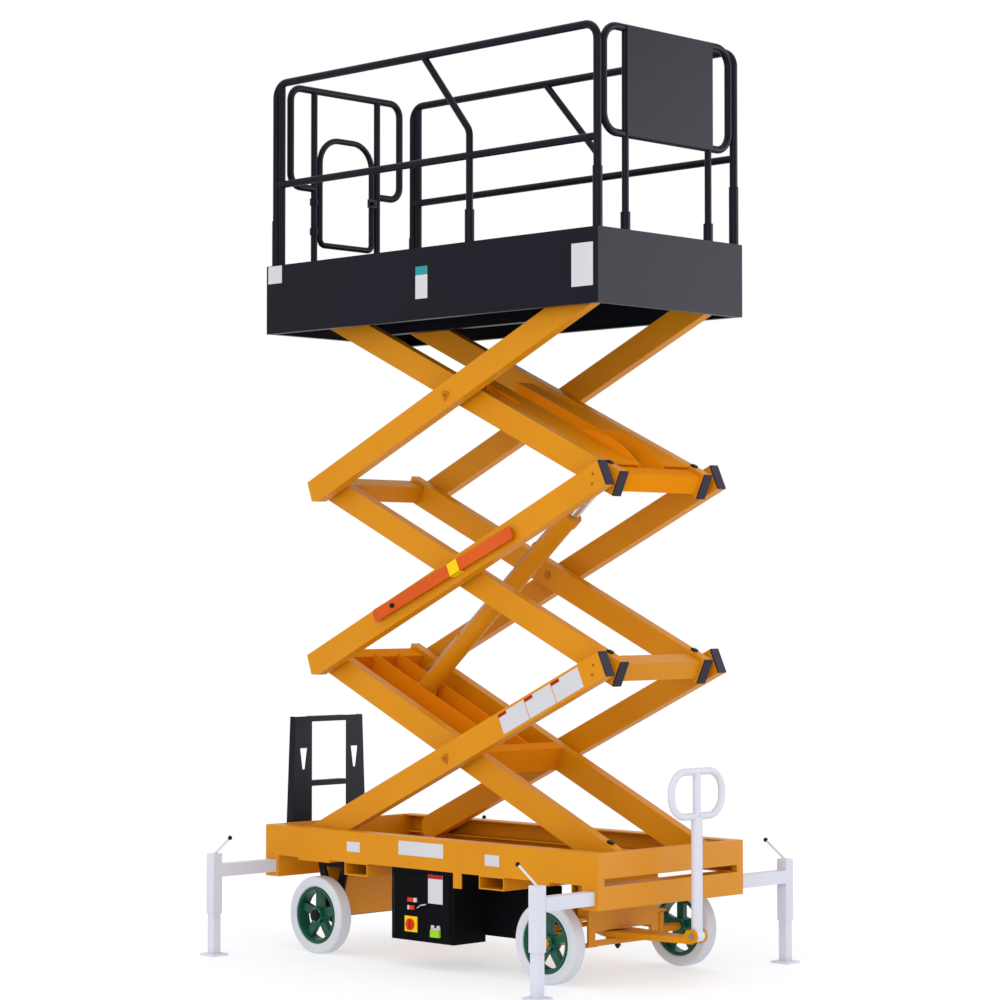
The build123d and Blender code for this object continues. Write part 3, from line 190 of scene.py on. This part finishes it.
black_plastic = finish("black_plastic", srgb(12, 11, 15), srgb(18, 17, 20), 0.35)

# Finish of each CAD node by its material slot, with a duller one for the cabinet and the unit, and for the trays a
# duller orange made lighter as painted light against the shade they sit in
FINISHES = {
    "orange_paint": orange_paint,
    "black_paint": black_paint,
    "white_paint": white_paint,
    "green_paint": green_paint,
    "white_tyre": white_rubber,
    "black_rubber": black_rubber,
    "bare_steel": bare_steel,
    "chromed_steel": chromed_steel,
    "red_paint": red_paint,
}
DULL_FINISHES = {
    "power_cabinet": cabinet_black,
    "pump_unit": cabinet_black,
    "inner_cross_1": tray_paint_painted_light,
    "inner_cross_3": tray_paint_painted_light,
}
for subpart in frame["record"]["subparts"]:
    name = subpart["node"]
    node = frame["nodes"][name]
    node.data.materials.clear()
    node.data.materials.append(DULL_FINISHES.get(name, FINISHES[subpart["material_slot"]]))


def piece(name, shape, material, body):
    """Makes a finished bmesh into an object that rides on a CAD body."""
    bmesh.ops.recalc_face_normals(shape, faces=shape.faces)
    mesh = bpy.data.meshes.new(name)
    shape.to_mesh(mesh)
    shape.free()
    mesh.materials.append(material)
    made = bpy.data.objects.new(name, mesh)
    bpy.context.scene.collection.objects.link(made)
    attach(made, body)


def soften(shape, verts, edge, sharp):
    """Rounds the sharp edges between some vertices."""
    edges = {e for v in verts for e in v.link_edges if len(e.link_faces) == 2}
    edges = [e for e in edges if e.calc_face_angle() > sharp]
    bmesh.ops.bevel(shape, geom=edges, offset=edge, affect="EDGES", segments=2, profile=0.5, material=-1)


def add_block(shape, low, high, edge=EDGE, place=Matrix()):
    """Adds a block with softened edges between two corners."""
    low, high = Vector(low), Vector(high)
    size = high - low
    matrix = place @ Matrix.Translation((low + high) / 2) @ Matrix.Diagonal((*size, 1.0))
    made = bmesh.ops.create_cube(shape, size=1.0, matrix=matrix)
    soften(shape, made["verts"], min(edge, min(size) / 3), BLOCK_SHARP)


def add_plate(shape, place, corner, size, thickness, level=0.0, edge=EDGE):
    """Adds a plate on a face, from its low corner and its size in the face's frame."""
    (x, y), (width, height) = corner, size
    add_block(shape, (x, y, level), (x + width, y + height, level + thickness), edge, place)


def add_rod(shape, start, end, radius, segments, edge=0.0, place=Matrix()):
    """Adds a round rod between two points."""
    start, end = place @ Vector(start), place @ Vector(end)
    turn = (end - start).to_track_quat("Z", "Y").to_matrix().to_4x4()
    made = bmesh.ops.create_cone(
        shape,
        cap_ends=True,
        segments=segments,
        radius1=radius,
        radius2=radius,
        depth=(end - start).length,
        matrix=Matrix.Translation((start + end) / 2) @ turn,
    )
    if edge:
        soften(shape, made["verts"], edge, ROD_SHARP)


def add_ring(shape, centre, radius, thickness):
    """Adds a ring of round section about an axis across the machine."""
    axis = Vector((0, 1, 0))
    turn = Matrix.Translation(centre) @ axis.to_track_quat("Z", "Y").to_matrix().to_4x4()
    start = bmesh.ops.create_circle(
        shape,
        cap_ends=False,
        segments=RING_FLATS,
        radius=thickness,
        matrix=turn @ Matrix.Translation((radius, 0, 0)) @ Matrix.Rotation(math.pi / 2, 4, "X"),
    )
    edges = list({e for v in start["verts"] for e in v.link_edges})
    bmesh.ops.spin(
        shape,
        geom=start["verts"] + edges,
        cent=centre,
        axis=axis,
        angle=math.tau,
        steps=RING_STEPS,
        use_merge=True,
    )


def frame_of(run, rise, out, origin):
    """Frame with three given directions at a point."""
    turn = Matrix((run, rise, out)).transposed().to_4x4()
    return Matrix.Translation(origin) @ turn


def near_face(node):
    """Frame on a node's near face: X to the front, Y up, Z outwards, from the low rear corner."""
    return frame_of(Vector((1, 0, 0)), Vector((0, 0, 1)), Vector((0, -1, 0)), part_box(node)[0])


def arm_face(stage, side, lean, face):
    """Frame on an arm's face: X up the arm from its low joint, Y across it, Z outwards."""
    centre = CENTRES[stage]
    run = Vector((lean * math.cos(ARM_ANGLE), 0, math.sin(ARM_ANGLE)))
    rise = Vector((-lean * math.sin(ARM_ANGLE), 0, math.cos(ARM_ANGLE)))
    origin = Vector((centre.x, side * face, centre.z)) - run * ARM_HALF
    return frame_of(run, rise, Vector((0, side, 0)), origin)


def outer_arm(stage, side):
    """Frame on the outer face of an outer arm, which leans to the front."""
    return arm_face(stage, side, 1, OUTER_FACE)


def inner_arm(stage, side):
    """Frame on the inner face of an inner arm, which leans to the rear."""
    return arm_face(stage, side, -1, INNER_FACE)


def plate(name, place, corner, size, material, body, thickness=CARD, level=0.0):
    """Makes one plate on a face into a piece."""
    shape = bmesh.new()
    add_plate(shape, place, corner, size, thickness, level, CARD_EDGE)
    piece(name, shape, material, body)


# Blank plates on the near side beam, each by its low corner and its size
BEAM_PLATES = {
    "beam_plate_rear": ((0.528, 0.048), (0.086, 0.045)),
    "beam_plate_middle": ((0.866, 0.056), (0.283, 0.062)),
    "beam_plate_front": ((1.404, 0.044), (0.087, 0.048)),
}
beam = near_face("side_beams")
for name, (corner, size) in BEAM_PLATES.items():
    plate(name, beam, corner, size, white_card, "chassis")

# Blank plates on the skirt, the middle one with a teal band over it
SKIRT_PLATES = {
    "skirt_plate_rear": ((0.012, 0.2328), (0.096, 0.082), white_card, "white_paint"),
    "skirt_plate_middle": ((1.006, 0.0908), (0.076, 0.105), white_card, "white_paint"),
    "skirt_plate_band": ((1.006, 0.1958), (0.076, 0.038), teal_card, "green_paint"),
    "skirt_plate_front": ((1.950, 0.0718), (0.122, 0.181), white_card, "white_paint"),
}
skirt = near_face("skirt")
for name, (corner, size, material, slot) in SKIRT_PLATES.items():
    plate(name, skirt, corner, size, material, "platform")

# Row of three blank plates along the near arm of the first stage, each with a dark red corner
STRIP_SPANS = ((1.310, 1.478), (1.482, 1.650), (1.654, 1.825))
STRIP_HALF = 0.045
RED_LENGTH = 0.052
RED_HEIGHT = 0.014
RED_EDGE = 0.0003
near_arm = outer_arm(1, -1)
strip_plates = bmesh.new()
strip_corners = bmesh.new()
for start, end in STRIP_SPANS:
    strip_size = (end - start, 2 * STRIP_HALF)
    add_plate(strip_plates, near_arm, (start, -STRIP_HALF), strip_size, CARD, 0.0, CARD_EDGE)
    red_corner = (start, STRIP_HALF - RED_HEIGHT)
    add_plate(strip_corners, near_arm, red_corner, (RED_LENGTH, RED_HEIGHT), CARD, CARD, RED_EDGE)
piece("arm_plates", strip_plates, white_card, "outer_frame_1")
piece("arm_plate_corners", strip_corners, red_card, "outer_frame_1")

# Instruction card on the cabinet door, with a dark red band along its top
INSTRUCTION_CORNER = (0.240, 0.171)
INSTRUCTION_SIZE = (0.091, 0.125)
BAND_CORNER = (0.240, 0.279)
BAND_SIZE = (0.091, 0.017)
door = near_face("power_cabinet")
plate("instruction_card", door, INSTRUCTION_CORNER, INSTRUCTION_SIZE, white_card, "chassis")
plate("instruction_band", door, BAND_CORNER, BAND_SIZE, red_card, "chassis", CARD, CARD)

# Isolator: a yellow plate with a round knob and the grip across it
ISOLATOR_CORNER = (0.097, 0.039)
ISOLATOR_SIZE = (0.077, 0.068)
ISOLATOR_DEPTH = 0.006
KNOB_CENTRE = (0.134, 0.072)
KNOB_RADIUS = 0.025
KNOB_TOP = 0.014
GRIP_CORNER = (0.128, 0.050)
GRIP_SIZE = (0.012, 0.044)
GRIP_HEIGHT = 0.012
GRIP_EDGE = 0.003
plate(
    "isolator_plate",
    door,
    ISOLATOR_CORNER,
    ISOLATOR_SIZE,
    yellow_paint,
    "chassis",
    ISOLATOR_DEPTH,
)
isolator_knob = bmesh.new()
knob_foot, knob_top = (*KNOB_CENTRE, ISOLATOR_DEPTH), (*KNOB_CENTRE, KNOB_TOP)
add_rod(isolator_knob, knob_foot, knob_top, KNOB_RADIUS, DIAL_FLATS, KNOB_EDGE, door)
add_plate(isolator_knob, door, GRIP_CORNER, GRIP_SIZE, GRIP_HEIGHT, KNOB_TOP, GRIP_EDGE)
piece("isolator_knob", isolator_knob, red_plastic, "chassis")

# Push buttons in two rows, each by its low corner and its width
BUTTON_HEIGHT = 0.018
BUTTON_DEPTH = 0.008
BUTTONS = {
    "stop_button": ((0.116, 0.170), 0.038, red_plastic, "red_paint"),
    "test_button": ((0.155, 0.170), 0.016, white_card, "white_paint"),
    "lower_button": ((0.116, 0.136), 0.011, white_card, "white_paint"),
    "raise_button": ((0.128, 0.136), 0.027, red_plastic, "red_paint"),
}
for name, (corner, width, material, slot) in BUTTONS.items():
    plate(name, door, corner, (width, BUTTON_HEIGHT), material, "chassis", BUTTON_DEPTH)

# Charging socket with its white cover and two tabs above it
SOCKET_CORNER = (0.263, 0.027)
SOCKET_SIZE = (0.055, 0.031)
SOCKET_DEPTH = 0.012
COVER_CORNER = (0.263, 0.058)
COVER_SIZE = (0.055, 0.008)
COVER_DEPTH = 0.008
COVER_TAB_CORNERS = ((0.265, 0.062), (0.300, 0.062))
COVER_TAB_SIZE = (0.016, 0.016)
plate(
    "charge_socket", door, SOCKET_CORNER, SOCKET_SIZE, green_plastic, "chassis", SOCKET_DEPTH
)
socket_tabs = bmesh.new()
add_plate(socket_tabs, door, COVER_CORNER, COVER_SIZE, COVER_DEPTH)
for corner in COVER_TAB_CORNERS:
    add_plate(socket_tabs, door, corner, COVER_TAB_SIZE, COVER_DEPTH)
piece("socket_tabs", socket_tabs, white_card, "chassis")

# Bent lever that lowers the platform by hand
LEVER_BENDS = ((0.186, 0.140, 0.002), (0.189, 0.148, 0.016), (0.212, 0.161, 0.020), (0.246, 0.167, 0.020))
LEVER_RADIUS = 0.003
release_lever = bmesh.new()
for start, end in zip(LEVER_BENDS, LEVER_BENDS[1:]):
    add_rod(release_lever, start, end, LEVER_RADIUS, THIN_FLATS, place=door)
piece("release_lever", release_lever, chromed_steel, "chassis")

# Raised edge of the door and its two hinges
DOOR_EDGE_CORNER = (0.024, 0.024)
DOOR_EDGE_SIZE = (0.008, 0.266)
DOOR_EDGE_DEPTH = 0.003
HINGE_PLACE = 0.018
HINGE_LEVELS = (0.067, 0.247)
HINGE_HALF = 0.022
HINGE_RADIUS = 0.006
door_edge = bmesh.new()
add_plate(door_edge, door, DOOR_EDGE_CORNER, DOOR_EDGE_SIZE, DOOR_EDGE_DEPTH)
for level in HINGE_LEVELS:
    low, high = (HINGE_PLACE, level - HINGE_HALF, 0), (HINGE_PLACE, level + HINGE_HALF, 0)
    add_rod(door_edge, low, high, HINGE_RADIUS, PIN_FLATS, NUT_EDGE, door)
piece("door_edge", door_edge, black_plastic, "chassis")

# Louvres on the far face of the hydraulic unit
LOUVRE_COUNT = 6
LOUVRE_START = 0.07
LOUVRE_PITCH = 0.026
LOUVRE_MARGIN = 0.12
LOUVRE_HEIGHT = 0.012
LOUVRE_DEPTH = 0.006
LOUVRE_EDGE = 0.002
unit_low, unit_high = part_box("pump_unit")
louvres = bmesh.new()
for row in range(LOUVRE_COUNT):
    z = unit_low.z + LOUVRE_START + row * LOUVRE_PITCH
    low = (unit_low.x + LOUVRE_MARGIN, unit_high.y, z)
    high = (unit_high.x - LOUVRE_MARGIN, unit_high.y + LOUVRE_DEPTH, z + LOUVRE_HEIGHT)
    add_block(louvres, low, high, LOUVRE_EDGE)
piece("unit_louvres", louvres, black_plastic, "chassis")

# Nut under the tongue's pivot pin, with the end of the pin below it
NUT_RADIUS = 0.014
NUT_DROP = 0.014
NUT_SEAT = 0.004
PIN_END_RADIUS = 0.007
PIN_END_DROP = 0.022
steer_x = PIVOTS["tongue_steer"].x
axle_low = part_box("front_axle_box")[0].z
nut_low, nut_high = (steer_x, 0, axle_low - NUT_DROP), (steer_x, 0, axle_low + NUT_SEAT)
pin_low, pin_high = (steer_x, 0, axle_low - PIN_END_DROP), (steer_x, 0, axle_low)
tongue_nut = bmesh.new()
add_rod(tongue_nut, nut_low, nut_high, NUT_RADIUS, NUT_FLATS, NUT_EDGE)
add_rod(tongue_nut, pin_low, pin_high, PIN_END_RADIUS, PIN_FLATS, NUT_EDGE)
piece("tongue_nut", tongue_nut, black_plastic, "chassis")

# Three-cornered lock tabs by the crossing pins, each with a screw, and two screws at the upper end pins
TAB_BACK = 0.022
TAB_RADIUS = 0.036
TAB_TOP_RADIUS = 0.033
TAB_THICKNESS = 0.004
TAB_CORNER = 0.014
TAB_TURNS = {1: 1.03, 2: 0.5, 3: 0.5}
TAB_SCREW_FOOT = 0.003
TAB_SCREW_TOP = 0.007
TAB_SCREW_RADIUS = 0.007
END_SCREWS = ((0.005, 0.016), (-0.016, -0.019))
END_SCREW_TOP = 0.003
END_SCREW_RADIUS = 0.0055
tab_x = ARM_HALF - TAB_BACK
tab_place = Matrix.Translation((tab_x, 0, TAB_THICKNESS / 2))
for stage in STAGES:
    tabs = bmesh.new()
    screws = bmesh.new()
    for side in SIDES:
        arm = outer_arm(stage, side)
        tab = bmesh.ops.create_cone(
            tabs,
            cap_ends=True,
            segments=3,
            radius1=TAB_RADIUS,
            radius2=TAB_TOP_RADIUS,
            depth=TAB_THICKNESS,
            matrix=arm @ tab_place @ Matrix.Rotation(TAB_TURNS[stage], 4, "Z"),
        )
        edges = {e for v in tab["verts"] for e in v.link_edges}
        flat = arm.inverted()
        rises = {e: (flat @ e.verts[0].co - flat @ e.verts[1].co).z for e in edges}
        uprights = [e for e in edges if abs(rises[e]) > TAB_THICKNESS / 2]
        bmesh.ops.bevel(
            tabs, geom=uprights, offset=TAB_CORNER, affect="EDGES", segments=4, profile=0.5, material=-1
        )
        foot, top = (tab_x, 0, TAB_SCREW_FOOT), (tab_x, 0, TAB_SCREW_TOP)
        add_rod(screws, foot, top, TAB_SCREW_RADIUS, NUT_FLATS, SCREW_EDGE, arm)
        for along, up in END_SCREWS:
            foot, top = (ARM_LENGTH + along, up, 0), (ARM_LENGTH + along, up, END_SCREW_TOP)
            add_rod(screws, foot, top, END_SCREW_RADIUS, THIN_FLATS, SCREW_EDGE, arm)
    piece(f"lock_tabs_{stage}", tabs, pin_paint, f"outer_frame_{stage}")
    piece(f"lock_screws_{stage}", screws, dark_orange, f"outer_frame_{stage}")

# Heads of the crossing pins on the open inner faces of the second stage
PIN_HEAD_RADIUS = 0.018
PIN_HEAD_DEPTH = 0.004
pin_heads = bmesh.new()
for side in SIDES:
    foot, top = (ARM_HALF, 0, 0), (ARM_HALF, 0, -PIN_HEAD_DEPTH)
    add_rod(pin_heads, foot, top, PIN_HEAD_RADIUS, HEAD_FLATS, NUT_EDGE, inner_arm(2, side))
piece("pin_heads", pin_heads, pin_paint, "inner_frame_2")

# Rubber stops on top of the inner arms near their front joints
STOP_START = 0.024
STOP_INSET = 0.012
STOP_SIZE = Vector((0.026, 0.010, 0.026))
STOP_EDGE = 0.003
stop_low = Vector((STOP_START, ARM_HEIGHT / 2, STOP_INSET))
for stage in STAGES:
    stops = bmesh.new()
    for side in SIDES:
        add_block(stops, stop_low, stop_low + STOP_SIZE, STOP_EDGE, inner_arm(stage, side))
    piece(f"arm_stops_{stage}", stops, black_plastic, f"inner_frame_{stage}")

# Yellow clip round the safety prop: a front and two legs that reach the arm
CLIP_START = 0.985
CLIP_LENGTH = 0.063
CLIP_LOW = -0.030
CLIP_HEIGHT = 0.064
CLIP_WALL = 0.004
CLIP_EDGE = 0.001
prop_arm = outer_arm(2, -1)
prop_clip = bmesh.new()
clip_size, leg_size = (CLIP_LENGTH, CLIP_HEIGHT), (CLIP_LENGTH, CLIP_WALL)
add_plate(prop_clip, prop_arm, (CLIP_START, CLIP_LOW), clip_size, CLIP_WALL, PROP_DEPTH, CLIP_EDGE)
for leg_low in (CLIP_LOW + CLIP_HEIGHT - CLIP_WALL, CLIP_LOW):
    leg_corner = (CLIP_START, leg_low)
    add_plate(prop_clip, prop_arm, leg_corner, leg_size, PROP_DEPTH + CLIP_WALL, 0.0, CLIP_EDGE)
piece("prop_clip", prop_clip, yellow_paint, "outer_frame_2")

# Dark knob on the safety prop
PROP_KNOB_PLACE = (0.596, 0.012)
PROP_KNOB_RADIUS = 0.010
PROP_KNOB_HEIGHT = 0.012
prop_knob = bmesh.new()
foot, top = (*PROP_KNOB_PLACE, PROP_DEPTH), (*PROP_KNOB_PLACE, PROP_DEPTH + PROP_KNOB_HEIGHT)
add_rod(prop_knob, foot, top, PROP_KNOB_RADIUS, KNOB_FLATS, KNOB_EDGE, prop_arm)
piece("prop_knob", prop_knob, black_plastic, "outer_frame_2")

# Black balls on the ends of the crank rods, at the inner upper corner of each outrigger's box
BALL_RADIUS = 0.0102
BALL_INSET = 0.0098
for place in WHEELS:
    arm_low, arm_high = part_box(f"outrigger_arm_{place}")
    leg_low, leg_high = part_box(f"jack_leg_{place}")
    x = arm_low.x + BALL_INSET if place.startswith("front") else arm_high.x - BALL_INSET
    y = (leg_low.y + leg_high.y) / 2
    spot = Matrix.Translation((x, y, arm_high.z - BALL_INSET))
    ball = bmesh.new()
    bmesh.ops.create_uvsphere(ball, u_segments=20, v_segments=12, radius=BALL_RADIUS, matrix=spot)
    piece(f"crank_ball_{place}", ball, black_plastic, f"outrigger_{place}")

# Wheels: beads on the rim, a line round the tyre wall and bolts round the hub
BEAD_INSET = 0.006
BEAD_THICKNESS = 0.004
LINE_OFFSET = 0.020
LINE_THICKNESS = 0.0012
BOLT_COUNT = 5
BOLT_CIRCLE = 0.031
BOLT_RADIUS = 0.004
BOLT_LENGTH = 0.003
for place in WHEELS:
    centre = PIVOTS[f"wheel_spin_{place}"]
    side = 1 if centre.y > 0 else -1
    tyre_low, tyre_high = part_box(f"tyre_{place}")
    rim_low, rim_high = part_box(f"wheel_centre_{place}")
    rim_radius = (rim_high.x - rim_low.x) / 2
    beads = bmesh.new()
    for y in (rim_low.y, rim_high.y):
        add_ring(beads, (centre.x, y, centre.z), rim_radius - BEAD_INSET, BEAD_THICKNESS)
    piece(f"rim_bead_{place}", beads, green_paint, f"wheel_{place}")
    lines = bmesh.new()
    for y in (tyre_low.y, tyre_high.y):
        add_ring(lines, (centre.x, y, centre.z), rim_radius + LINE_OFFSET, LINE_THICKNESS)
    piece(f"tyre_line_{place}", lines, white_rubber, f"wheel_{place}")
    bolts = bmesh.new()
    face = rim_high.y if side > 0 else rim_low.y
    for number in range(BOLT_COUNT):
        angle = math.tau * (number + 0.5) / BOLT_COUNT
        x, z = centre.x + BOLT_CIRCLE * math.cos(angle), centre.z + BOLT_CIRCLE * math.sin(angle)
        foot, top = (x, face, z), (x, face + side * BOLT_LENGTH, z)
        add_rod(bolts, foot, top, BOLT_RADIUS, NUT_FLATS, SCREW_EDGE)
    piece(f"hub_bolts_{place}", bolts, bare_steel, f"wheel_{place}")

# Raised lozenges of the non-slip floor, turned left and right by turns
LOZENGE_AREA = (0.93, 0.38)
LOZENGE_PITCH = 0.060
LOZENGE_RADIUS = 0.017
LOZENGE_TOP_RADIUS = 0.013
LOZENGE_HEIGHT = 0.0016
LOZENGE_SLIM = 0.28
lozenges = bmesh.new()
columns, rows = (int(2 * half / LOZENGE_PITCH) for half in LOZENGE_AREA)
slim = Matrix.Diagonal((1.0, LOZENGE_SLIM, 1.0, 1.0))
for column in range(columns + 1):
    for row in range(rows + 1):
        x = -LOZENGE_AREA[0] + column * LOZENGE_PITCH
        y = -LOZENGE_AREA[1] + row * LOZENGE_PITCH
        turn = math.pi / 4 if (column + row) % 2 else -math.pi / 4
        spot = Matrix.Translation((x, y, FLOOR_TOP + LOZENGE_HEIGHT / 2))
        bmesh.ops.create_cone(
            lozenges,
            cap_ends=True,
            segments=8,
            radius1=LOZENGE_RADIUS,
            radius2=LOZENGE_TOP_RADIUS,
            depth=LOZENGE_HEIGHT,
            matrix=spot @ Matrix.Rotation(turn, 4, "Z") @ slim,
        )
piece("floor_lozenges", lozenges, black_paint, "platform")

# Latch on the free side of the gate: a block with a knob to the inside
LATCH_LEVEL = 0.24
LATCH_DEPTHS = (0.010, 0.022)
LATCH_REACH = (-0.050, 0.004)
LATCH_HALF = 0.02
LATCH_KNOB_DEPTHS = (0.016, 0.044)
LATCH_KNOB_PLACE = -0.026
LATCH_KNOB_RADIUS = 0.010
hinge = PIVOTS["gate_swing"]
gate_low, gate_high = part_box("gate")
latch_z = gate_low.z + LATCH_LEVEL
low = (hinge.x + LATCH_DEPTHS[0], gate_high.y + LATCH_REACH[0], latch_z - LATCH_HALF)
high = (hinge.x + LATCH_DEPTHS[1], gate_high.y + LATCH_REACH[1], latch_z + LATCH_HALF)
foot, top = ((hinge.x + depth, gate_high.y + LATCH_KNOB_PLACE, latch_z) for depth in LATCH_KNOB_DEPTHS)
latch = bmesh.new()
add_block(latch, low, high)
add_rod(latch, foot, top, LATCH_KNOB_RADIUS, KNOB_FLATS, KNOB_EDGE)
piece("gate_latch", latch, black_plastic, "gate_body")

# Welds between the gate's loop and its hinge rings
WELD_LEVELS = (0.074, 0.214)
WELD_REACH = (0.016, 0.027)
WELD_HALF_WIDTH = 0.007
WELD_HALF_HEIGHT = 0.015
welds = bmesh.new()
for level in WELD_LEVELS:
    z = gate_low.z + level
    low = (hinge.x - WELD_HALF_WIDTH, hinge.y + WELD_REACH[0], z - WELD_HALF_HEIGHT)
    high = (hinge.x + WELD_HALF_WIDTH, hinge.y + WELD_REACH[1], z + WELD_HALF_HEIGHT)
    add_block(welds, low, high)
piece("gate_welds", welds, black_paint, "gate_body")

# Oil pipe along the barrel with a nut at each end, and the clips that hold it
PIPE_ENDS = (0.11, 1.19)
PIPE_LIFT = 0.050
PIPE_RADIUS = 0.005
PIPE_NUT_SPAN = (0.036, 0.058)
PIPE_NUT_RADIUS = 0.010
PIPE_CLIP_PLACES = (0.35, 0.70, 0.98)
PIPE_CLIP_HALF_LENGTH = 0.012
PIPE_CLIP_SPAN = (0.040, 0.057)
PIPE_CLIP_HALF_WIDTH = 0.010
PIPE_CLIP_EDGE = 0.002
stroke_joint = next(joint for joint in frame["joints"] if joint["name"] == "cylinder_stroke")
stroke = Vector(stroke_joint["axis"])
across = Vector((-stroke.z, 0, stroke.x))
barrel = frame_of(stroke, across, stroke.cross(across), PIVOTS["cylinder_trunnion"])
pipe = bmesh.new()
foot, top = ((along, PIPE_LIFT, 0) for along in PIPE_ENDS)
add_rod(pipe, foot, top, PIPE_RADIUS, THIN_FLATS, place=barrel)
for along in PIPE_ENDS:
    foot, top = ((along, lift, 0) for lift in PIPE_NUT_SPAN)
    add_rod(pipe, foot, top, PIPE_NUT_RADIUS, NUT_FLATS, NUT_EDGE, barrel)
piece("barrel_pipe", pipe, bare_steel, "barrel")
clips = bmesh.new()
for along in PIPE_CLIP_PLACES:
    low = (along - PIPE_CLIP_HALF_LENGTH, PIPE_CLIP_SPAN[0], -PIPE_CLIP_HALF_WIDTH)
    high = (along + PIPE_CLIP_HALF_LENGTH, PIPE_CLIP_SPAN[1], PIPE_CLIP_HALF_WIDTH)
    add_block(clips, low, high, PIPE_CLIP_EDGE, barrel)
piece("pipe_clips", clips, orange_paint, "barrel")

# Pin heads at the clevis of the tow handle
CLEVIS_HALF = 0.036
CLEVIS_HEAD_LENGTH = 0.006
CLEVIS_HEAD_RADIUS = 0.013
handle_pivot = PIVOTS["handle_pitch"]
clevis = bmesh.new()
for side in SIDES:
    start = Vector((handle_pivot.x, side * CLEVIS_HALF, handle_pivot.z))
    end = start + Vector((0, side * CLEVIS_HEAD_LENGTH, 0))
    add_rod(clevis, start, end, CLEVIS_HEAD_RADIUS, NUT_FLATS, NUT_EDGE)
piece("clevis_bolt", clevis, bare_steel, "tow_tongue_body")

# Camera
camera_data = bpy.data.cameras.new("camera")
camera_data.lens = CAMERA_LENS
camera_data.sensor_width = CAMERA_SENSOR
camera_data.clip_end = CAMERA_REACH
camera = bpy.data.objects.new("camera", camera_data)
camera.location = CAMERA_PLACE
camera.rotation_euler = (math.radians(90 + CAMERA_PITCH), 0, math.radians(CAMERA_YAW - 90))
bpy.context.scene.collection.objects.link(camera)
bpy.context.scene.camera = camera
bpy.context.scene.view_settings.view_transform = "Standard"


def area_light(name, place, target, size, power, tint=(1.0, 1.0, 1.0)):
    """Soft square light that points at a target."""
    light = bpy.data.lights.new(name, "AREA")
    light.size = size
    light.energy = power
    light.color = tint
    made = bpy.data.objects.new(name, light)
    made.location = place
    made.rotation_euler = (Vector(target) - Vector(place)).to_track_quat("-Z", "Y").to_euler()
    bpy.context.scene.collection.objects.link(made)
    return made


# Soft light from above and from the near side, and one at the front that only gives a sheen
area_light("top", place=(0.5, -0.5, 9.0), target=(0, 0, 0), size=7.0, power=120)
front_sheen = area_light(
    "front_sheen", place=(7.0, 6.5, 2.6), target=(0.5, 0, 1.8), size=7.0, power=900, tint=(0.92, 0.9, 1.0)
)
front_sheen.visible_diffuse = False
area_light("near_fill", place=(6.0, -9.5, 4.0), target=(0, 0, 1.8), size=5.0, power=260)

# White surroundings
world = bpy.data.worlds.new("studio")
bpy.context.scene.world = world
world.use_nodes = True
world.node_tree.nodes["Background"].inputs["Color"].default_value = (1.0, 1.0, 1.0, 1.0)
world.node_tree.nodes["Background"].inputs["Strength"].default_value = 1.0

# Pale floor that glows a little, so that it meets the surroundings without a line and shadows stay light
FLOOR_SIZE = 60.0
FLOOR_SHADES = (srgb(176, 177, 180), srgb(178, 179, 182))
FLOOR_GLOW = 0.55
FLOOR_GLOW_TINT = (0.97, 0.98, 1.0, 1.0)
floor_shape = bmesh.new()
bmesh.ops.create_grid(floor_shape, x_segments=1, y_segments=1, size=FLOOR_SIZE)
floor_mesh = bpy.data.meshes.new("floor")
floor_shape.to_mesh(floor_mesh)
floor_shape.free()
pale_floor = finish("pale_floor", *FLOOR_SHADES, 0.7, patch=0.4, grain=30.0, bump=0.01)
floor_shader = pale_floor.node_tree.nodes["Principled BSDF"]
floor_shader.inputs["Emission Color"].default_value = FLOOR_GLOW_TINT
floor_shader.inputs["Emission Strength"].default_value = FLOOR_GLOW
floor_mesh.materials.append(pale_floor)
floor = bpy.data.objects.new("floor", floor_mesh)
bpy.context.scene.collection.objects.link(floor)
